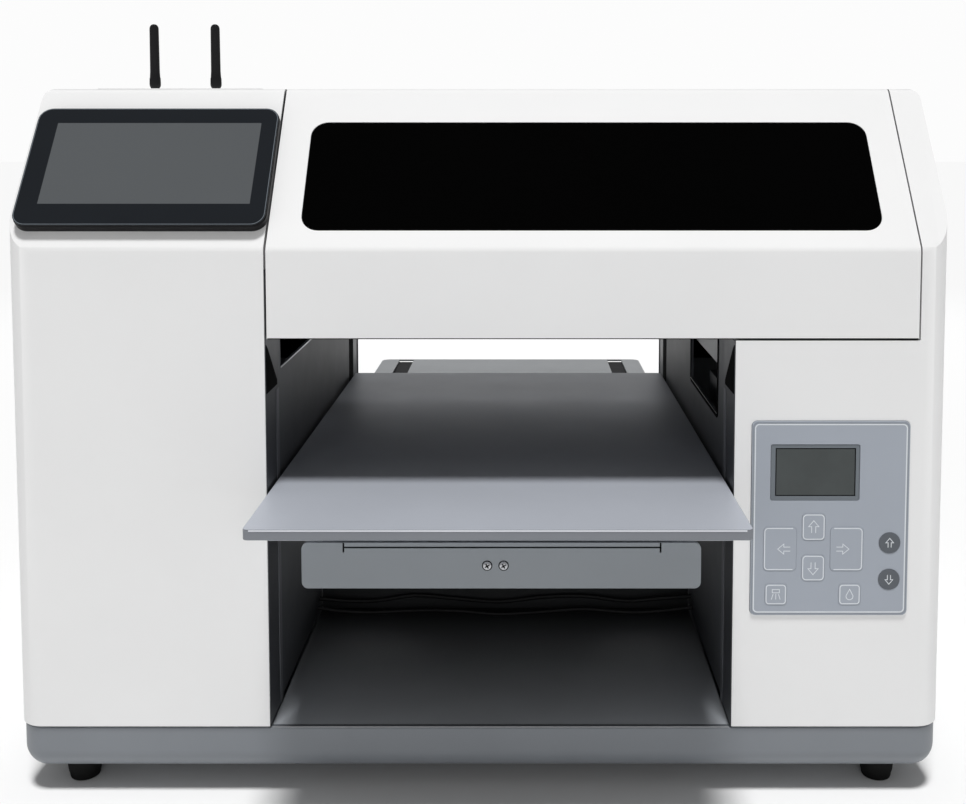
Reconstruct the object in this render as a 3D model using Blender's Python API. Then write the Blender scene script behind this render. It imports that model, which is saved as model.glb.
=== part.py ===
"""Desktop flatbed printer: a table that slides through a tunnel under a print carriage.

Metres, +Z up, front towards -Y. The origin is on the floor, below the middle of the whole object.
"""

import math

import bmesh
import bpy
from mathutils import Matrix, Vector

# ---- driving dimensions ------------------------------------------------------------------

BODY_W = 0.700
BODY_DEPTH = 0.490
BED_LEAD = 0.089  # how far the bed stands ahead of the housing's front at rest
TRAY_REACH = 0.700  # how far the bed base reaches behind the housing's front
FRONT_Y = BED_LEAD - (BED_LEAD + TRAY_REACH) / 2
REAR_Y = FRONT_Y + BODY_DEPTH

FOOT_H = 0.017
BASE_TOP = 0.0525
SHELL_Z0 = 0.0540
BREAK_Z = 0.4155  # where the front face breaks into the slope
TOP_Z = 0.5364
SLOPE_RUN = 0.088
SLOPE = math.atan2(TOP_Z - BREAK_Z, SLOPE_RUN)

CORNER_R = 0.020
BREAK_R = 0.008
SHELL_T = 0.003
SHEET_T = 0.002
GAP = 0.0003
SEAM = 0.0012
PAST = 0.01  # cutting tools run this far past a face
FAR_Z = 0.6  # above everything

BASE_INSET = 0.001
BASE_WALL = 0.006
BASE_FLOOR_T = 0.008
BASE_EDGE_R = 0.018
FOOT_X = 0.3096
FOOT_INSET = 0.031
FOOT_R = (0.0112, 0.0136)  # at the floor and at the base
FLOOR_DEPTH = (0.0075, 0.234)
FLOOR_RISER_TOP = 0.0719

OPEN_X0 = -0.1577  # inner faces of the two columns
OPEN_X1 = 0.1903
MID_X = (OPEN_X0 + OPEN_X1) / 2  # middle of the bed and its base
FLANGE_DEPTH = 0.045
TUNNEL_TOP = 0.300
REAR_STRIP_X = 0.3148  # the housings wrap round the rear corners as far as this

HOOD_X0 = -0.1559
HOOD_X1 = 0.3254
HOOD_Z0 = 0.3489
HOOD_DEPTH = 0.2440
HINGE_DEPTH = 0.2490
HINGE_Z = TOP_Z - 0.0042
COVER_DEPTH = 0.2540
ROD_R = 0.0022
KNUCKLE_R = 0.0040
KNUCKLE_BORE_R = 0.0026
COVER_KNUCKLES = ((-0.150, -0.110), (0.065, 0.105), (0.280, 0.320))
HOOD_RIM = 0.020

BED_W = 0.343
BED_LENGTH = 0.539
BED_TOP = 0.2351
BED_T = 0.0075

BASE_HALF_W = 0.130  # the bed base's channel
CHANNEL_DEPTH = (0.012, 0.695)
CHANNEL_Z0 = 0.166
CHANNEL_Z1 = 0.2015
NECK_Z0 = 0.1910
SHELF_START = 0.575  # the shelf under the tray's slots runs from here to the channel's rear end
SHELF_Z0 = 0.1990
FRONT_PLATE_X = (-0.1188, 0.1554)
FRONT_PLATE_Z = (0.1877, 0.2197)
FRONT_PLATE_DEPTH = (-0.0700, -0.0665)
TRAY_Z0 = 0.2021
TRAY_Z1 = 0.2041
TRAY_HALF_W = 0.1705
SLOT_IN = 0.129
SLOT_OUT = 0.148
RAIL_IN = 0.1303
RAIL_W = 0.008
RAIL_Z0 = 0.1762
RAIL_Z1 = 0.1880
RAIL_END = 0.600
BRACKET_DEPTH = (0.160, 0.320)
Y_SCREW_OFFSET = 0.154
Y_SCREW_Z = 0.1875
Y_SCREW_R = 0.0035
Y_SCREW_START = 0.060

Y_MOTOR_HALF_W = 0.0110
Y_MOTOR_DEPTH = (0.642, 0.692)

ARM_DEPTH = (0.300, 0.345)
ARM_Z = (0.150, 0.1675)
Z_SCREW_X = (-0.2000, 0.2325)
Z_SCREW_DEPTH = 0.3225
Z_SCREW_R = 0.004
MOTOR_W = 0.042
Z_MOTOR_Z = (0.0255, 0.0572)
X_MOTOR_Z = (0.3500, 0.3925)

BEAM_X = (-0.187, 0.337)
BEAM_DEPTH = (0.234, 0.268)
BEAM_Z = (0.330, 0.390)
RAIL_FRONT_DEPTH = 0.2192
GANTRY_RAIL_Z = (0.354, 0.366)
PULLEY_DEPTH = 0.247
PULLEY_Z = (0.396, 0.406)
PULLEY_R = 0.008
SHAFT_R = 0.0025
DRIVE_X = -0.215
IDLER_X = 0.318
BELT_T = 0.0015

CARRIAGE_X = (0.195, 0.320)
CARRIAGE_DEPTH = (0.095, 0.2250)
CARRIAGE_Z = (0.3106, 0.420)
HEAD_X = (0.215, 0.300)
HEAD_DEPTH = (0.118, 0.202)
HEAD_Z = (0.302, 0.345)

SWITCH_X = (0.2425, 0.2575)
SWITCH_Z = 0.153
INLET_X = (0.236, 0.264)
INLET_Z = (0.104, 0.126)

PANEL_X = (0.2030, 0.3202)
PANEL_Z = (0.1406, 0.2877)
PANEL_PROUD = 0.0012
PANEL_T = 0.0039
KEY_T = 0.0015
KEY_PROUD = 0.0003
KEY_TRAVEL = 0.0008
KEY_GAP = 0.0004

SCREEN_X = (-0.3445, -0.1565)
SCREEN_RUN = (0.0146, 0.1233)  # along the slope from the front break
SCREEN_R = 0.011
SCREEN_BACK_T = 0.0074
SCREEN_GLASS_T = 0.0013

WINDOW_X = (-0.132, 0.301)
WINDOW_RUN = (0.0163, 0.1160)
WINDOW_R = 0.013

ANTENNA_X = (-0.2807, -0.2288)
ANTENNA_DEPTH = 0.150
ANTENNA_TOP = 0.5940
PLATE_X = (-0.318, -0.182)
PLATE_T = 0.0013
PLATE_DEPTH = (0.112, 0.188)

# ---- finishes: colour, roughness, metallic -----------------------------------------------

WHITE_SHELL = ((0.80, 0.80, 0.80), 0.35, 0.0)
BASE_GREY = ((0.19, 0.20, 0.22), 0.45, 0.0)
DARK_SHEET = ((0.10, 0.10, 0.11), 0.55, 0.0)
BED_GREY = ((0.30, 0.31, 0.34), 0.50, 0.3)
PLATE_GREY = ((0.20, 0.21, 0.23), 0.45, 0.2)
PANEL_BLUE = ((0.34, 0.37, 0.41), 0.40, 0.0)
BLACK_PLASTIC = ((0.02, 0.02, 0.022), 0.35, 0.0)
BLACK_GLASS = ((0.01, 0.01, 0.01), 0.05, 0.0)
RUBBER = ((0.015, 0.015, 0.015), 0.85, 0.0)
STEEL = ((0.55, 0.55, 0.57), 0.30, 1.0)
ALUMINIUM = ((0.70, 0.71, 0.72), 0.35, 1.0)
BOARD_GREEN = ((0.02, 0.12, 0.06), 0.50, 0.0)
TANK_AMBER = ((0.55, 0.56, 0.52), 0.25, 0.0)


# ---- helpers -----------------------------------------------------------------------------


def clear_scene():
    for obj in list(bpy.data.objects):
        bpy.data.objects.remove(obj, do_unlink=True)


def y_at(depth):
    """World Y of a depth behind the housing's front plane."""
    return FRONT_Y + depth


def widened(span, margin):
    """A span made longer by a margin at both ends."""
    return span[0] - margin, span[1] + margin


def slope_point(run, height=0.0):
    """(Y, Z) of a point so far up the slope from its front break, and so high above its surface."""
    y = FRONT_Y + run * math.cos(SLOPE) - height * math.sin(SLOPE)
    z = BREAK_Z + run * math.sin(SLOPE) + height * math.cos(SLOPE)
    return y, z


def add(name, bm, finish=None):
    """The object that a bmesh becomes, with its own material."""
    bmesh.ops.recalc_face_normals(bm, faces=bm.faces)
    mesh = bpy.data.meshes.new(name)
    bm.to_mesh(mesh)
    bm.free()
    obj = bpy.data.objects.new(name, mesh)
    bpy.context.scene.collection.objects.link(obj)
    if finish:
        paint(obj, finish)
    return obj


def paint(obj, finish):
    colour, roughness, metallic = finish
    material = bpy.data.materials.new(obj.name)
    material.use_nodes = True
    shader = material.node_tree.nodes["Principled BSDF"]
    shader.inputs["Base Color"].default_value = (*colour, 1.0)
    shader.inputs["Roughness"].default_value = roughness
    shader.inputs["Metallic"].default_value = metallic
    obj.data.materials.clear()
    obj.data.materials.append(material)


def smooth(obj, angle=35):
    obj.data.shade_smooth()
    obj.data.set_sharp_from_angle(angle=math.radians(angle))
    return obj


def rounded(corners, radii, segments=5):
    """An outline with each corner turned into an arc; a radius of 0 keeps the corner."""
    outline = []
    count = len(corners)
    for i, radius in enumerate(radii):
        here = Vector(corners[i])
        before = (Vector(corners[i - 1]) - here).normalized()
        after = (Vector(corners[(i + 1) % count]) - here).normalized()
        if radius == 0:
            outline.append(tuple(here))
            continue
        half = before.angle(after) / 2
        centre = here + (before + after).normalized() * radius / math.sin(half)
        start = here + before * radius / math.tan(half) - centre
        sweep = start.angle_signed(here + after * radius / math.tan(half) - centre)
        for step in range(segments + 1):
            turn = -sweep * step / segments
            point = Vector((
                start.x * math.cos(turn) - start.y * math.sin(turn),
                start.x * math.sin(turn) + start.y * math.cos(turn),
            ))
            outline.append(tuple(centre + point))
    return outline


def rectangle(low_a, high_a, low_b, high_b):
    return [(low_a, low_b), (high_a, low_b), (high_a, high_b), (low_a, high_b)]


def prism(name, outline, low, high, along="Z", finish=None):
    """An outline pushed from low to high. Along X it is (Y, Z), along Y (X, Z), along Z (X, Y)."""
    place = {
        "X": lambda a, b, t: (t, a, b),
        "Y": lambda a, b, t: (a, t, b),
        "Z": lambda a, b, t: (a, b, t),
    }[along]
    bm = bmesh.new()
    ends = [[bm.verts.new(place(a, b, t)) for a, b in outline] for t in (low, high)]
    bm.faces.new(ends[0])
    bm.faces.new(ends[1])
    for i in range(len(outline)):
        bm.faces.new((ends[0][i - 1], ends[0][i], ends[1][i], ends[1][i - 1]))
    return add(name, bm, finish)


def box(name, x, y, z, finish=None):
    return prism(name, rectangle(*x, *y), *z, "Z", finish)


def cylinder(name, centre, radius, low, high, along="Z", segments=16, finish=None, top_radius=None):
    """A cylinder or cone between low and high; centre is given in the other two axes."""
    bm = bmesh.new()
    far = radius if top_radius is None else top_radius
    bmesh.ops.create_cone(
        bm, cap_ends=True, segments=segments, radius1=radius, radius2=far, depth=high - low
    )
    middle = (low + high) / 2
    turn = {
        "X": Matrix.Rotation(math.pi / 2, 4, "Y"),
        "Y": Matrix.Rotation(-math.pi / 2, 4, "X"),
        "Z": Matrix.Identity(4),
    }[along]
    a, b = centre
    place = {"X": (middle, a, b), "Y": (a, middle, b), "Z": (a, b, middle)}[along]
    bmesh.ops.transform(bm, matrix=Matrix.Translation(place) @ turn, verts=bm.verts)
    return smooth(add(name, bm, finish))


def combine(body, tools, operation):
    """Applies a Boolean between the body and each tool, and removes the tools."""
    for tool in tools:
        modifier = body.modifiers.new(operation, "BOOLEAN")
        modifier.operation = operation
        modifier.object = tool
        evaluated = body.evaluated_get(bpy.context.evaluated_depsgraph_get())
        result = bpy.data.meshes.new_from_object(evaluated)
        body.modifiers.clear()
        old = body.data
        body.data = result
        bpy.data.meshes.remove(old)
        bpy.data.objects.remove(tool, do_unlink=True)
    return body


def cut(body, *tools):
    return combine(body, tools, "DIFFERENCE")


def join(body, *tools):
    return combine(body, tools, "UNION")


def keep(body, *tools):
    return combine(body, tools, "INTERSECT")


def soften(obj, width, segments=2, angle=50):
    modifier = obj.modifiers.new("soft_edges", "BEVEL")
    modifier.width = width
    modifier.segments = segments
    modifier.limit_method = "ANGLE"
    modifier.angle_limit = math.radians(angle)
    modifier.miter_outer = "MITER_ARC"
    return obj


def pivot(obj, point):
    """Moves the object's origin onto its joint's axis, and leaves its shape where it is."""
    obj.data.transform(Matrix.Translation(-Vector(point)))
    obj.location = point
    return obj


def column_profile(inset, z0, rear_inset=0.0):
    """Side view of the housing, moved inwards by inset: front face, slope, flat top."""
    front = FRONT_Y + inset
    start_z = BREAK_Z - inset * math.cos(SLOPE) + (inset - inset * math.sin(SLOPE)) * math.tan(SLOPE)
    top = TOP_Z - inset
    top_y = front + (top - start_z) / math.tan(SLOPE)
    rear = REAR_Y - rear_inset
    return [(front, z0), (front, start_z), (top_y, top), (rear, top), (rear, z0)]


# ---- base --------------------------------------------------------------------------------


def make_base():
    half = BODY_W / 2 - BASE_INSET
    front, rear = FRONT_Y + BASE_INSET, REAR_Y - BASE_INSET
    pan = box("base_pan", (-half, half), (front, rear), (FOOT_H, BASE_TOP))
    bm = bmesh.new()
    bm.from_mesh(pan.data)
    upright = [e for e in bm.edges if abs(e.verts[0].co.z - e.verts[1].co.z) > PAST]
    bmesh.ops.bevel(bm, geom=upright, offset=CORNER_R, segments=5, profile=0.5, affect="EDGES")
    lower = [e for e in bm.edges if max(v.co.z for v in e.verts) < FOOT_H + 1e-5]
    bmesh.ops.bevel(bm, geom=lower, offset=BASE_EDGE_R, segments=4, profile=0.5, affect="EDGES")
    bm.to_mesh(pan.data)
    bm.free()
    inner = rectangle(-half + BASE_WALL, half - BASE_WALL, front + BASE_WALL, rear - BASE_WALL)
    outline = rounded(inner, [CORNER_R - BASE_WALL] * 4, 3)
    cut(pan, prism("hollow", outline, FOOT_H + BASE_FLOOR_T, BASE_TOP + PAST))
    paint(smooth(pan), BASE_GREY)

    for end, depth in (("front", FOOT_INSET), ("rear", BODY_DEPTH - FOOT_INSET)):
        for side, x in (("left", -FOOT_X), ("right", FOOT_X)):
            cylinder(
                f"foot_{end}_{side}",
                (x, y_at(depth)),
                FOOT_R[0],
                0.0,
                FOOT_H - GAP,
                finish=RUBBER,
                top_radius=FOOT_R[1],
            )


def make_floor_plate():
    """Floor of the cavity: a folded sheet with two legs and a raised rear edge."""
    x = (OPEN_X0 + 0.0005, OPEN_X1 - 0.0005)
    y = tuple(y_at(d) for d in FLOOR_DEPTH)
    top = BASE_TOP - 0.0005
    floor = box("floor_plate", x, y, (top - SHEET_T, top), DARK_SHEET)
    legs = [
        box("leg", (side, side + SHEET_T), y, (FOOT_H + BASE_FLOOR_T + GAP, top - SHEET_T / 2))
        for side in (x[0], x[1] - SHEET_T)
    ]
    riser = box("riser", x, (y[1] - SHEET_T, y[1]), (top - SHEET_T / 2, FLOOR_RISER_TOP))
    paint(join(floor, *legs, riser), BASE_GREY)


# ---- housings ----------------------------------------------------------------------------


def make_housing(name, outer_x, inner_x):
    """A white column shell, open towards the opening, at the rear and below."""
    side = 1 if outer_x > inner_x else -1
    low, high = sorted((outer_x, inner_x))
    outer_corners = [0, CORNER_R, CORNER_R, 0] if side > 0 else [CORNER_R, 0, 0, CORNER_R]
    profile = rounded(column_profile(0, SHELL_Z0), [0, BREAK_R, BREAK_R, 0, 0], 4)
    shell = prism(name, profile, low, high, "X")
    plan = prism("plan", rounded(rectangle(low, high, FRONT_Y, REAR_Y), outer_corners), 0, FAR_Z)
    top_corners = [0, 0, BREAK_R, 0] if side > 0 else [0, 0, 0, BREAK_R]
    face = prism("face", rounded(rectangle(low, high, 0, TOP_Z), top_corners, 3), FRONT_Y, REAR_Y, "Y")
    keep(shell, plan, face)

    far = outer_x - side * SHELL_T
    near = inner_x + side * SHELL_T
    inner = column_profile(SHELL_T, SHELL_Z0 - PAST, SHELL_T)
    hollow = prism("hollow", inner, min(far, near), max(far, near), "X")
    inner_corners = [r - SHELL_T if r else 0 for r in outer_corners]
    inner_plan = rectangle(min(far, near), max(far, near), FRONT_Y + SHELL_T, REAR_Y - SHELL_T)
    keep(hollow, prism("inner_plan", rounded(inner_plan, inner_corners, 4), 0, FAR_Z))

    flange_y = y_at(FLANGE_DEPTH)
    side_view = [p for p in inner if p[0] > flange_y]
    slope_z = inner[1][1] + (flange_y - inner[1][0]) * math.tan(SLOPE)
    side_view = [(flange_y, inner[0][1]), (flange_y, slope_z), *side_view]
    side_window = prism("side_window", side_view, inner_x - PAST, inner_x + PAST, "X")
    rear_x = sorted((side * REAR_STRIP_X, inner_x - side * PAST))
    rear_window = box(
        "rear_window", rear_x, (REAR_Y - PAST, REAR_Y + PAST), (SHELL_Z0 - PAST, TOP_Z - SHELL_T)
    )
    cut(shell, hollow, side_window, rear_window)
    return shell


def make_housings():
    left = make_housing("left_housing", -BODY_W / 2, OPEN_X0)
    paint(smooth(left), WHITE_SHELL)
    right = make_housing("right_housing", BODY_W / 2, OPEN_X1)
    notch_x = (OPEN_X1 - PAST, HOOD_X1 + SEAM)
    notch_rear = REAR_Y - SHELL_T - 0.0005  # the strip behind it stays, as high as the cover
    hood_notch = box("hood_notch", notch_x, (FRONT_Y - PAST, notch_rear), (HOOD_Z0 - SEAM, FAR_Z))
    cover_notch = box(
        "cover_notch", notch_x, (FRONT_Y - PAST, REAR_Y + PAST), (TOP_Z - SHELL_T - GAP, FAR_Z)
    )
    panel_hole = box(
        "panel_hole",
        (PANEL_X[0] - GAP, PANEL_X[1] + GAP),
        (FRONT_Y - PAST, FRONT_Y + PAST),
        (PANEL_Z[0] - GAP, PANEL_Z[1] + GAP),
    )
    cut(right, hood_notch, cover_notch, panel_hole)
    paint(smooth(right), WHITE_SHELL)


def make_inner_walls():
    """Dark sheets that line the opening, with the cut-outs for gantry, carriage and lifting arms."""
    clear = 0.0005
    profile = column_profile(SHELL_T + 0.0004, SHELL_Z0, SHELL_T + clear)
    start = y_at(FLANGE_DEPTH + clear)
    slope_z = profile[1][1] + (start - profile[1][0]) * math.tan(SLOPE)
    outline = [(start, SHELL_Z0), (start, slope_z), *profile[2:]]
    arm_slot = ((ARM_DEPTH[0] - 0.004, ARM_DEPTH[1] + 0.004), (0.056, 0.222))
    gantry_gap = ((0.060, 0.275), (0.3173, 0.430))
    carriage_window = ((0.084, 0.232), (0.2743, 0.460))
    beam_window = ((0.225, 0.275), (0.322, 0.412))
    hinge_notch = ((HOOD_DEPTH - 0.006, COVER_DEPTH + 0.006), (HINGE_Z - 0.008, TOP_Z))
    cut_outs = {
        "left": (gantry_gap, arm_slot),
        "right": (carriage_window, beam_window, arm_slot, hinge_notch),
    }
    set_back = 0.0008
    faces = {
        "left": (OPEN_X0 - set_back - SHEET_T, OPEN_X0 - set_back),
        "right": (OPEN_X1 + set_back, OPEN_X1 + set_back + SHEET_T),
    }
    for side, (low, high) in faces.items():
        wall = prism(f"{side}_inner_wall", outline, low, high, "X")
        tools = [
            box("cut_out", (low - PAST, high + PAST), (y_at(near), y_at(far)), z)
            for (near, far), z in cut_outs[side]
        ]
        paint(cut(wall, *tools), DARK_SHEET)


def make_rear():
    """Rear panel with the tunnel's gap, and the mains inlet and switch in it."""
    y = (REAR_Y - 0.0030, REAR_Y - 0.0010)
    half = REAR_STRIP_X - 0.0005
    panel = box("rear_panel", (-half, half), y, (SHELL_Z0, TOP_Z - SHELL_T - 0.0004))
    through = (REAR_Y - PAST, REAR_Y + PAST)
    tunnel = box("tunnel", (OPEN_X0, OPEN_X1), through, (SHELL_Z0 - PAST, TUNNEL_TOP))
    inlet_hole = box("inlet_hole", widened(INLET_X, 0.0005), through, widened(INLET_Z, 0.0005))
    switch_z = (SWITCH_Z - 0.011, SWITCH_Z + 0.011)
    switch_hole = box("switch_hole", widened(SWITCH_X, 0.0006), through, switch_z)
    paint(cut(panel, tunnel, inlet_hole, switch_hole), BASE_GREY)

    inlet = box("power_inlet", INLET_X, (REAR_Y - 0.025, REAR_Y + 0.001), INLET_Z)
    flange = box(
        "flange", widened(INLET_X, 0.008), (REAR_Y - 0.0007, REAR_Y + 0.0015), widened(INLET_Z, 0.005)
    )
    socket = box(
        "socket", widened(INLET_X, -0.003), (REAR_Y - 0.018, REAR_Y + PAST), widened(INLET_Z, -0.003)
    )
    paint(cut(join(inlet, flange), socket), BLACK_PLASTIC)

    pivot_y = REAR_Y - 0.002
    rocker_view = [(-0.004, -0.010), (0.0045, -0.010), (0.0025, 0.0), (0.0045, 0.010), (-0.004, 0.010)]
    rest_tilt = Matrix.Rotation(math.radians(-7), 2)
    placed = [rest_tilt @ Vector(p) + Vector((pivot_y, SWITCH_Z)) for p in rocker_view]
    rocker = prism("power_switch", [tuple(p) for p in placed], *SWITCH_X, "X", BLACK_PLASTIC)
    pivot(rocker, (sum(SWITCH_X) / 2, pivot_y, SWITCH_Z))


def knuckle_spans():
    """(cover spans, hood spans) of the hinge barrel along X."""
    clear = 0.0005
    pairs = zip(COVER_KNUCKLES, COVER_KNUCKLES[1:])
    return COVER_KNUCKLES, [(near[1] + clear, far[0] - clear) for near, far in pairs]


def knuckles(spans, leaf_y):
    """Barrels round the hinge rod, each with the leaf that joins it to a sheet's edge."""
    hinge_y = y_at(HINGE_DEPTH)
    for span in spans:
        yield cylinder("barrel", (hinge_y, HINGE_Z), KNUCKLE_R, *span, "X", 12)
        yield box("leaf", span, leaf_y, (TOP_Z - SHELL_T, TOP_Z - 0.0008))


def make_top_cover():
    hinge_y = y_at(HINGE_DEPTH)
    cover_spans, _ = knuckle_spans()
    cover = box(
        "top_cover", (HOOD_X0, HOOD_X1), (y_at(COVER_DEPTH), REAR_Y), (TOP_Z - SHELL_T, TOP_Z)
    )
    join(cover, *knuckles(cover_spans, (hinge_y + 0.003, y_at(COVER_DEPTH) + 0.004)))
    across = widened((HOOD_X0, HOOD_X1), PAST)
    cut(cover, cylinder("bore", (hinge_y, HINGE_Z), KNUCKLE_BORE_R, *across, "X", 12))
    paint(cover, WHITE_SHELL)
    rod_x = widened((COVER_KNUCKLES[0][0], COVER_KNUCKLES[-1][1]), 0.0005)
    cylinder("hood_hinge_rod", (hinge_y, HINGE_Z), ROD_R, *rod_x, "X", 12, STEEL)


# ---- hood --------------------------------------------------------------------------------


def hood_strip(thickness):
    """Side view of a bent strip that follows the hood's outside."""
    outer = column_profile(0, HOOD_Z0)[:3] + [(y_at(HOOD_DEPTH), TOP_Z)]
    inner = column_profile(thickness, HOOD_Z0)[:3] + [(y_at(HOOD_DEPTH), TOP_Z - thickness)]
    return rounded(outer + inner[::-1], [0, BREAK_R, BREAK_R] + [0] * 5, 4)


def make_hood():
    hinge_y = y_at(HINGE_DEPTH)
    _, hood_spans = knuckle_spans()
    hood = prism("hood_shell", hood_strip(SHELL_T), HOOD_X0, HOOD_X1, "X")
    rim = hood_strip(HOOD_RIM)
    webs = [
        prism("web", rim, HOOD_X0, HOOD_X0 + SHELL_T, "X"),
        prism("web", rim, HOOD_X1 - SHELL_T, HOOD_X1, "X"),
    ]
    lip = box(
        "lip", (HOOD_X0, HOOD_X1), (FRONT_Y + 0.001, FRONT_Y + 0.012), (HOOD_Z0, HOOD_Z0 + SHELL_T)
    )
    join(hood, *webs, lip, *knuckles(hood_spans, (y_at(HOOD_DEPTH) - 0.004, hinge_y - 0.003)))
    across = widened((HOOD_X0, HOOD_X1), PAST)
    bore = cylinder("bore", (hinge_y, HINGE_Z), KNUCKLE_BORE_R, *across, "X", 12)
    opening = slope_plate("opening", WINDOW_X, WINDOW_RUN, WINDOW_R, -PAST, PAST, GAP)
    apply_placing(opening)
    cut(hood, bore, opening)
    paint(pivot(hood, (0, hinge_y, HINGE_Z)), WHITE_SHELL)
    window = slope_plate("hood_window", WINDOW_X, WINDOW_RUN, WINDOW_R, -0.0028, -0.0001, 0, BLACK_GLASS)
    apply_placing(window)
    pivot(window, (0, hinge_y, HINGE_Z))


def slope_plate(name, x, run, radius, low, high, margin=0.0, finish=None):
    """A plate with round corners that lies on the slope, between two heights above its surface."""
    half_w = (x[1] - x[0]) / 2 + margin
    half_h = (run[1] - run[0]) / 2 + margin
    outline = rounded(rectangle(-half_w, half_w, -half_h, half_h), [radius + margin] * 4, 4)
    plate = prism(name, outline, low, high, "Z", finish)
    plate.location = ((x[0] + x[1]) / 2, *slope_point((run[0] + run[1]) / 2))
    plate.rotation_euler.x = SLOPE
    return plate


def apply_placing(obj):
    """Writes the object's placing into its mesh."""
    bpy.context.view_layer.update()
    obj.data.transform(obj.matrix_world)
    obj.matrix_world = Matrix.Identity(4)


# ---- screen, antennas, key panel -----------------------------------------------------------


def make_touch_panel():
    back_top = GAP + SCREEN_BACK_T
    glass_low = back_top + GAP
    slope_plate(
        "touch_panel_housing", SCREEN_X, SCREEN_RUN, SCREEN_R, GAP, back_top, 0, BLACK_PLASTIC
    )
    slope_plate(
        "touch_glass", SCREEN_X, SCREEN_RUN, SCREEN_R, glass_low, glass_low + SCREEN_GLASS_T, -0.0004,
        BLACK_GLASS,
    )


def make_antennas():
    plate_z = (TOP_Z + GAP, TOP_Z + GAP + PLATE_T)
    plate_y = tuple(y_at(d) for d in PLATE_DEPTH)
    outline = rounded(rectangle(*PLATE_X, *plate_y), [0.006] * 4, 3)
    prism("antenna_plate", outline, *plate_z, "Z", WHITE_SHELL)

    foot_r = 0.0047
    pivot_z = plate_z[1] + GAP + foot_r
    arc = [math.radians(a) for a in (-90, -60, -30, 0)]
    foot = [(foot_r * math.cos(a), foot_r * math.sin(a)) for a in arc]
    tip_z = ANTENNA_TOP - pivot_z
    whip = [(0.0046, 0.005), (0.0041, 0.010), (0.0036, tip_z - 0.002), (0.0024, tip_z), (0, tip_z)]
    for side, x in zip(("left", "right"), ANTENNA_X):
        body = turned(f"antenna_{side}", foot + whip, 12)
        body.location = (x, y_at(ANTENNA_DEPTH), pivot_z)
        paint(smooth(body, 50), BLACK_PLASTIC)


def turned(name, profile, segments):
    """A profile of (radius, height) points spun round +Z; points at radius 0 close it."""
    bm = bmesh.new()
    rings = []
    for radius, height in profile:
        if radius < 1e-6:
            rings.append([bm.verts.new((0, 0, height))])
            continue
        angles = [2 * math.pi * i / segments for i in range(segments)]
        rings.append([bm.verts.new((radius * math.cos(a), radius * math.sin(a), height)) for a in angles])
    for low, high in zip(rings, rings[1:]):
        for i in range(segments):
            below = [low[i % len(low)], low[(i + 1) % len(low)]]
            ring = [*below, high[(i + 1) % len(high)], high[i % len(high)]]
            bm.faces.new(list(dict.fromkeys(ring)))
    return add(name, bm)


# Each key: name, middle in X and Z, width, height, corner radius.
KEYS = [
    ("key_up", 0.2496, 0.2079, 0.0170, 0.0200, 0.003),
    ("key_down", 0.2496, 0.1767, 0.0170, 0.0195, 0.003),
    ("key_left", 0.2247, 0.1912, 0.0244, 0.0329, 0.003),
    ("key_right", 0.2744, 0.1912, 0.0242, 0.0329, 0.003),
    ("key_nozzle", 0.2221, 0.1565, 0.0160, 0.0157, 0.0025),
    ("key_ink", 0.2772, 0.1565, 0.0160, 0.0157, 0.0025),
    ("key_round_upper", 0.3064, 0.1958, 0.0160, 0.0160, 0.0080),
    ("key_round_lower", 0.3064, 0.1680, 0.0160, 0.0160, 0.0080),
]
LCD_X = (0.2170, 0.2833)
LCD_Z = (0.2278, 0.2703)


def key_outline(middle_x, middle_z, width, height, radius, margin=0.0):
    half_w = width / 2 + margin
    half_h = height / 2 + margin
    sides = rectangle(middle_x - half_w, middle_x + half_w, middle_z - half_h, middle_z + half_h)
    return rounded(sides, [min(radius + margin, half_h - 1e-5)] * 4, 3)


def make_control_panel():
    """Key panel let into the right housing's front, with blind pockets for display and keys."""
    face_y = FRONT_Y - PANEL_PROUD
    panel = prism(
        "control_panel",
        rounded(rectangle(*PANEL_X, *PANEL_Z), [0.004] * 4, 3),
        face_y,
        face_y + PANEL_T,
        "Y",
    )
    key_y = face_y - KEY_PROUD
    pocket_y = key_y + KEY_T + KEY_TRAVEL + GAP
    pockets = [
        prism("pocket", key_outline(*shape, KEY_GAP), face_y - PAST, pocket_y, "Y")
        for _, *shape in KEYS
    ]
    lcd_outline = rounded(rectangle(*LCD_X, *LCD_Z), [0.0015] * 4, 2)
    cut(panel, prism("pocket", lcd_outline, face_y - PAST, face_y + 0.0018, "Y"), *pockets)
    paint(panel, PANEL_BLUE)

    lcd = rectangle(LCD_X[0] + GAP, LCD_X[1] - GAP, LCD_Z[0] + GAP, LCD_Z[1] - GAP)
    prism("lcd_window", rounded(lcd, [0.0012] * 4, 2), face_y + 0.0004, face_y + 0.0015, "Y", BLACK_GLASS)
    for name, *shape in KEYS:
        finish = BLACK_PLASTIC if "round" in name else PANEL_BLUE
        key = prism(name, key_outline(*shape), key_y, key_y + KEY_T, "Y", finish)
        pivot(key, (shape[0], key_y, shape[1]))


# ---- bed and its base ----------------------------------------------------------------------


def beside(side, low, high):
    """X range of something low to high away from the bed's middle line, on the given side."""
    return tuple(sorted((MID_X + side * low, MID_X + side * high)))


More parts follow.
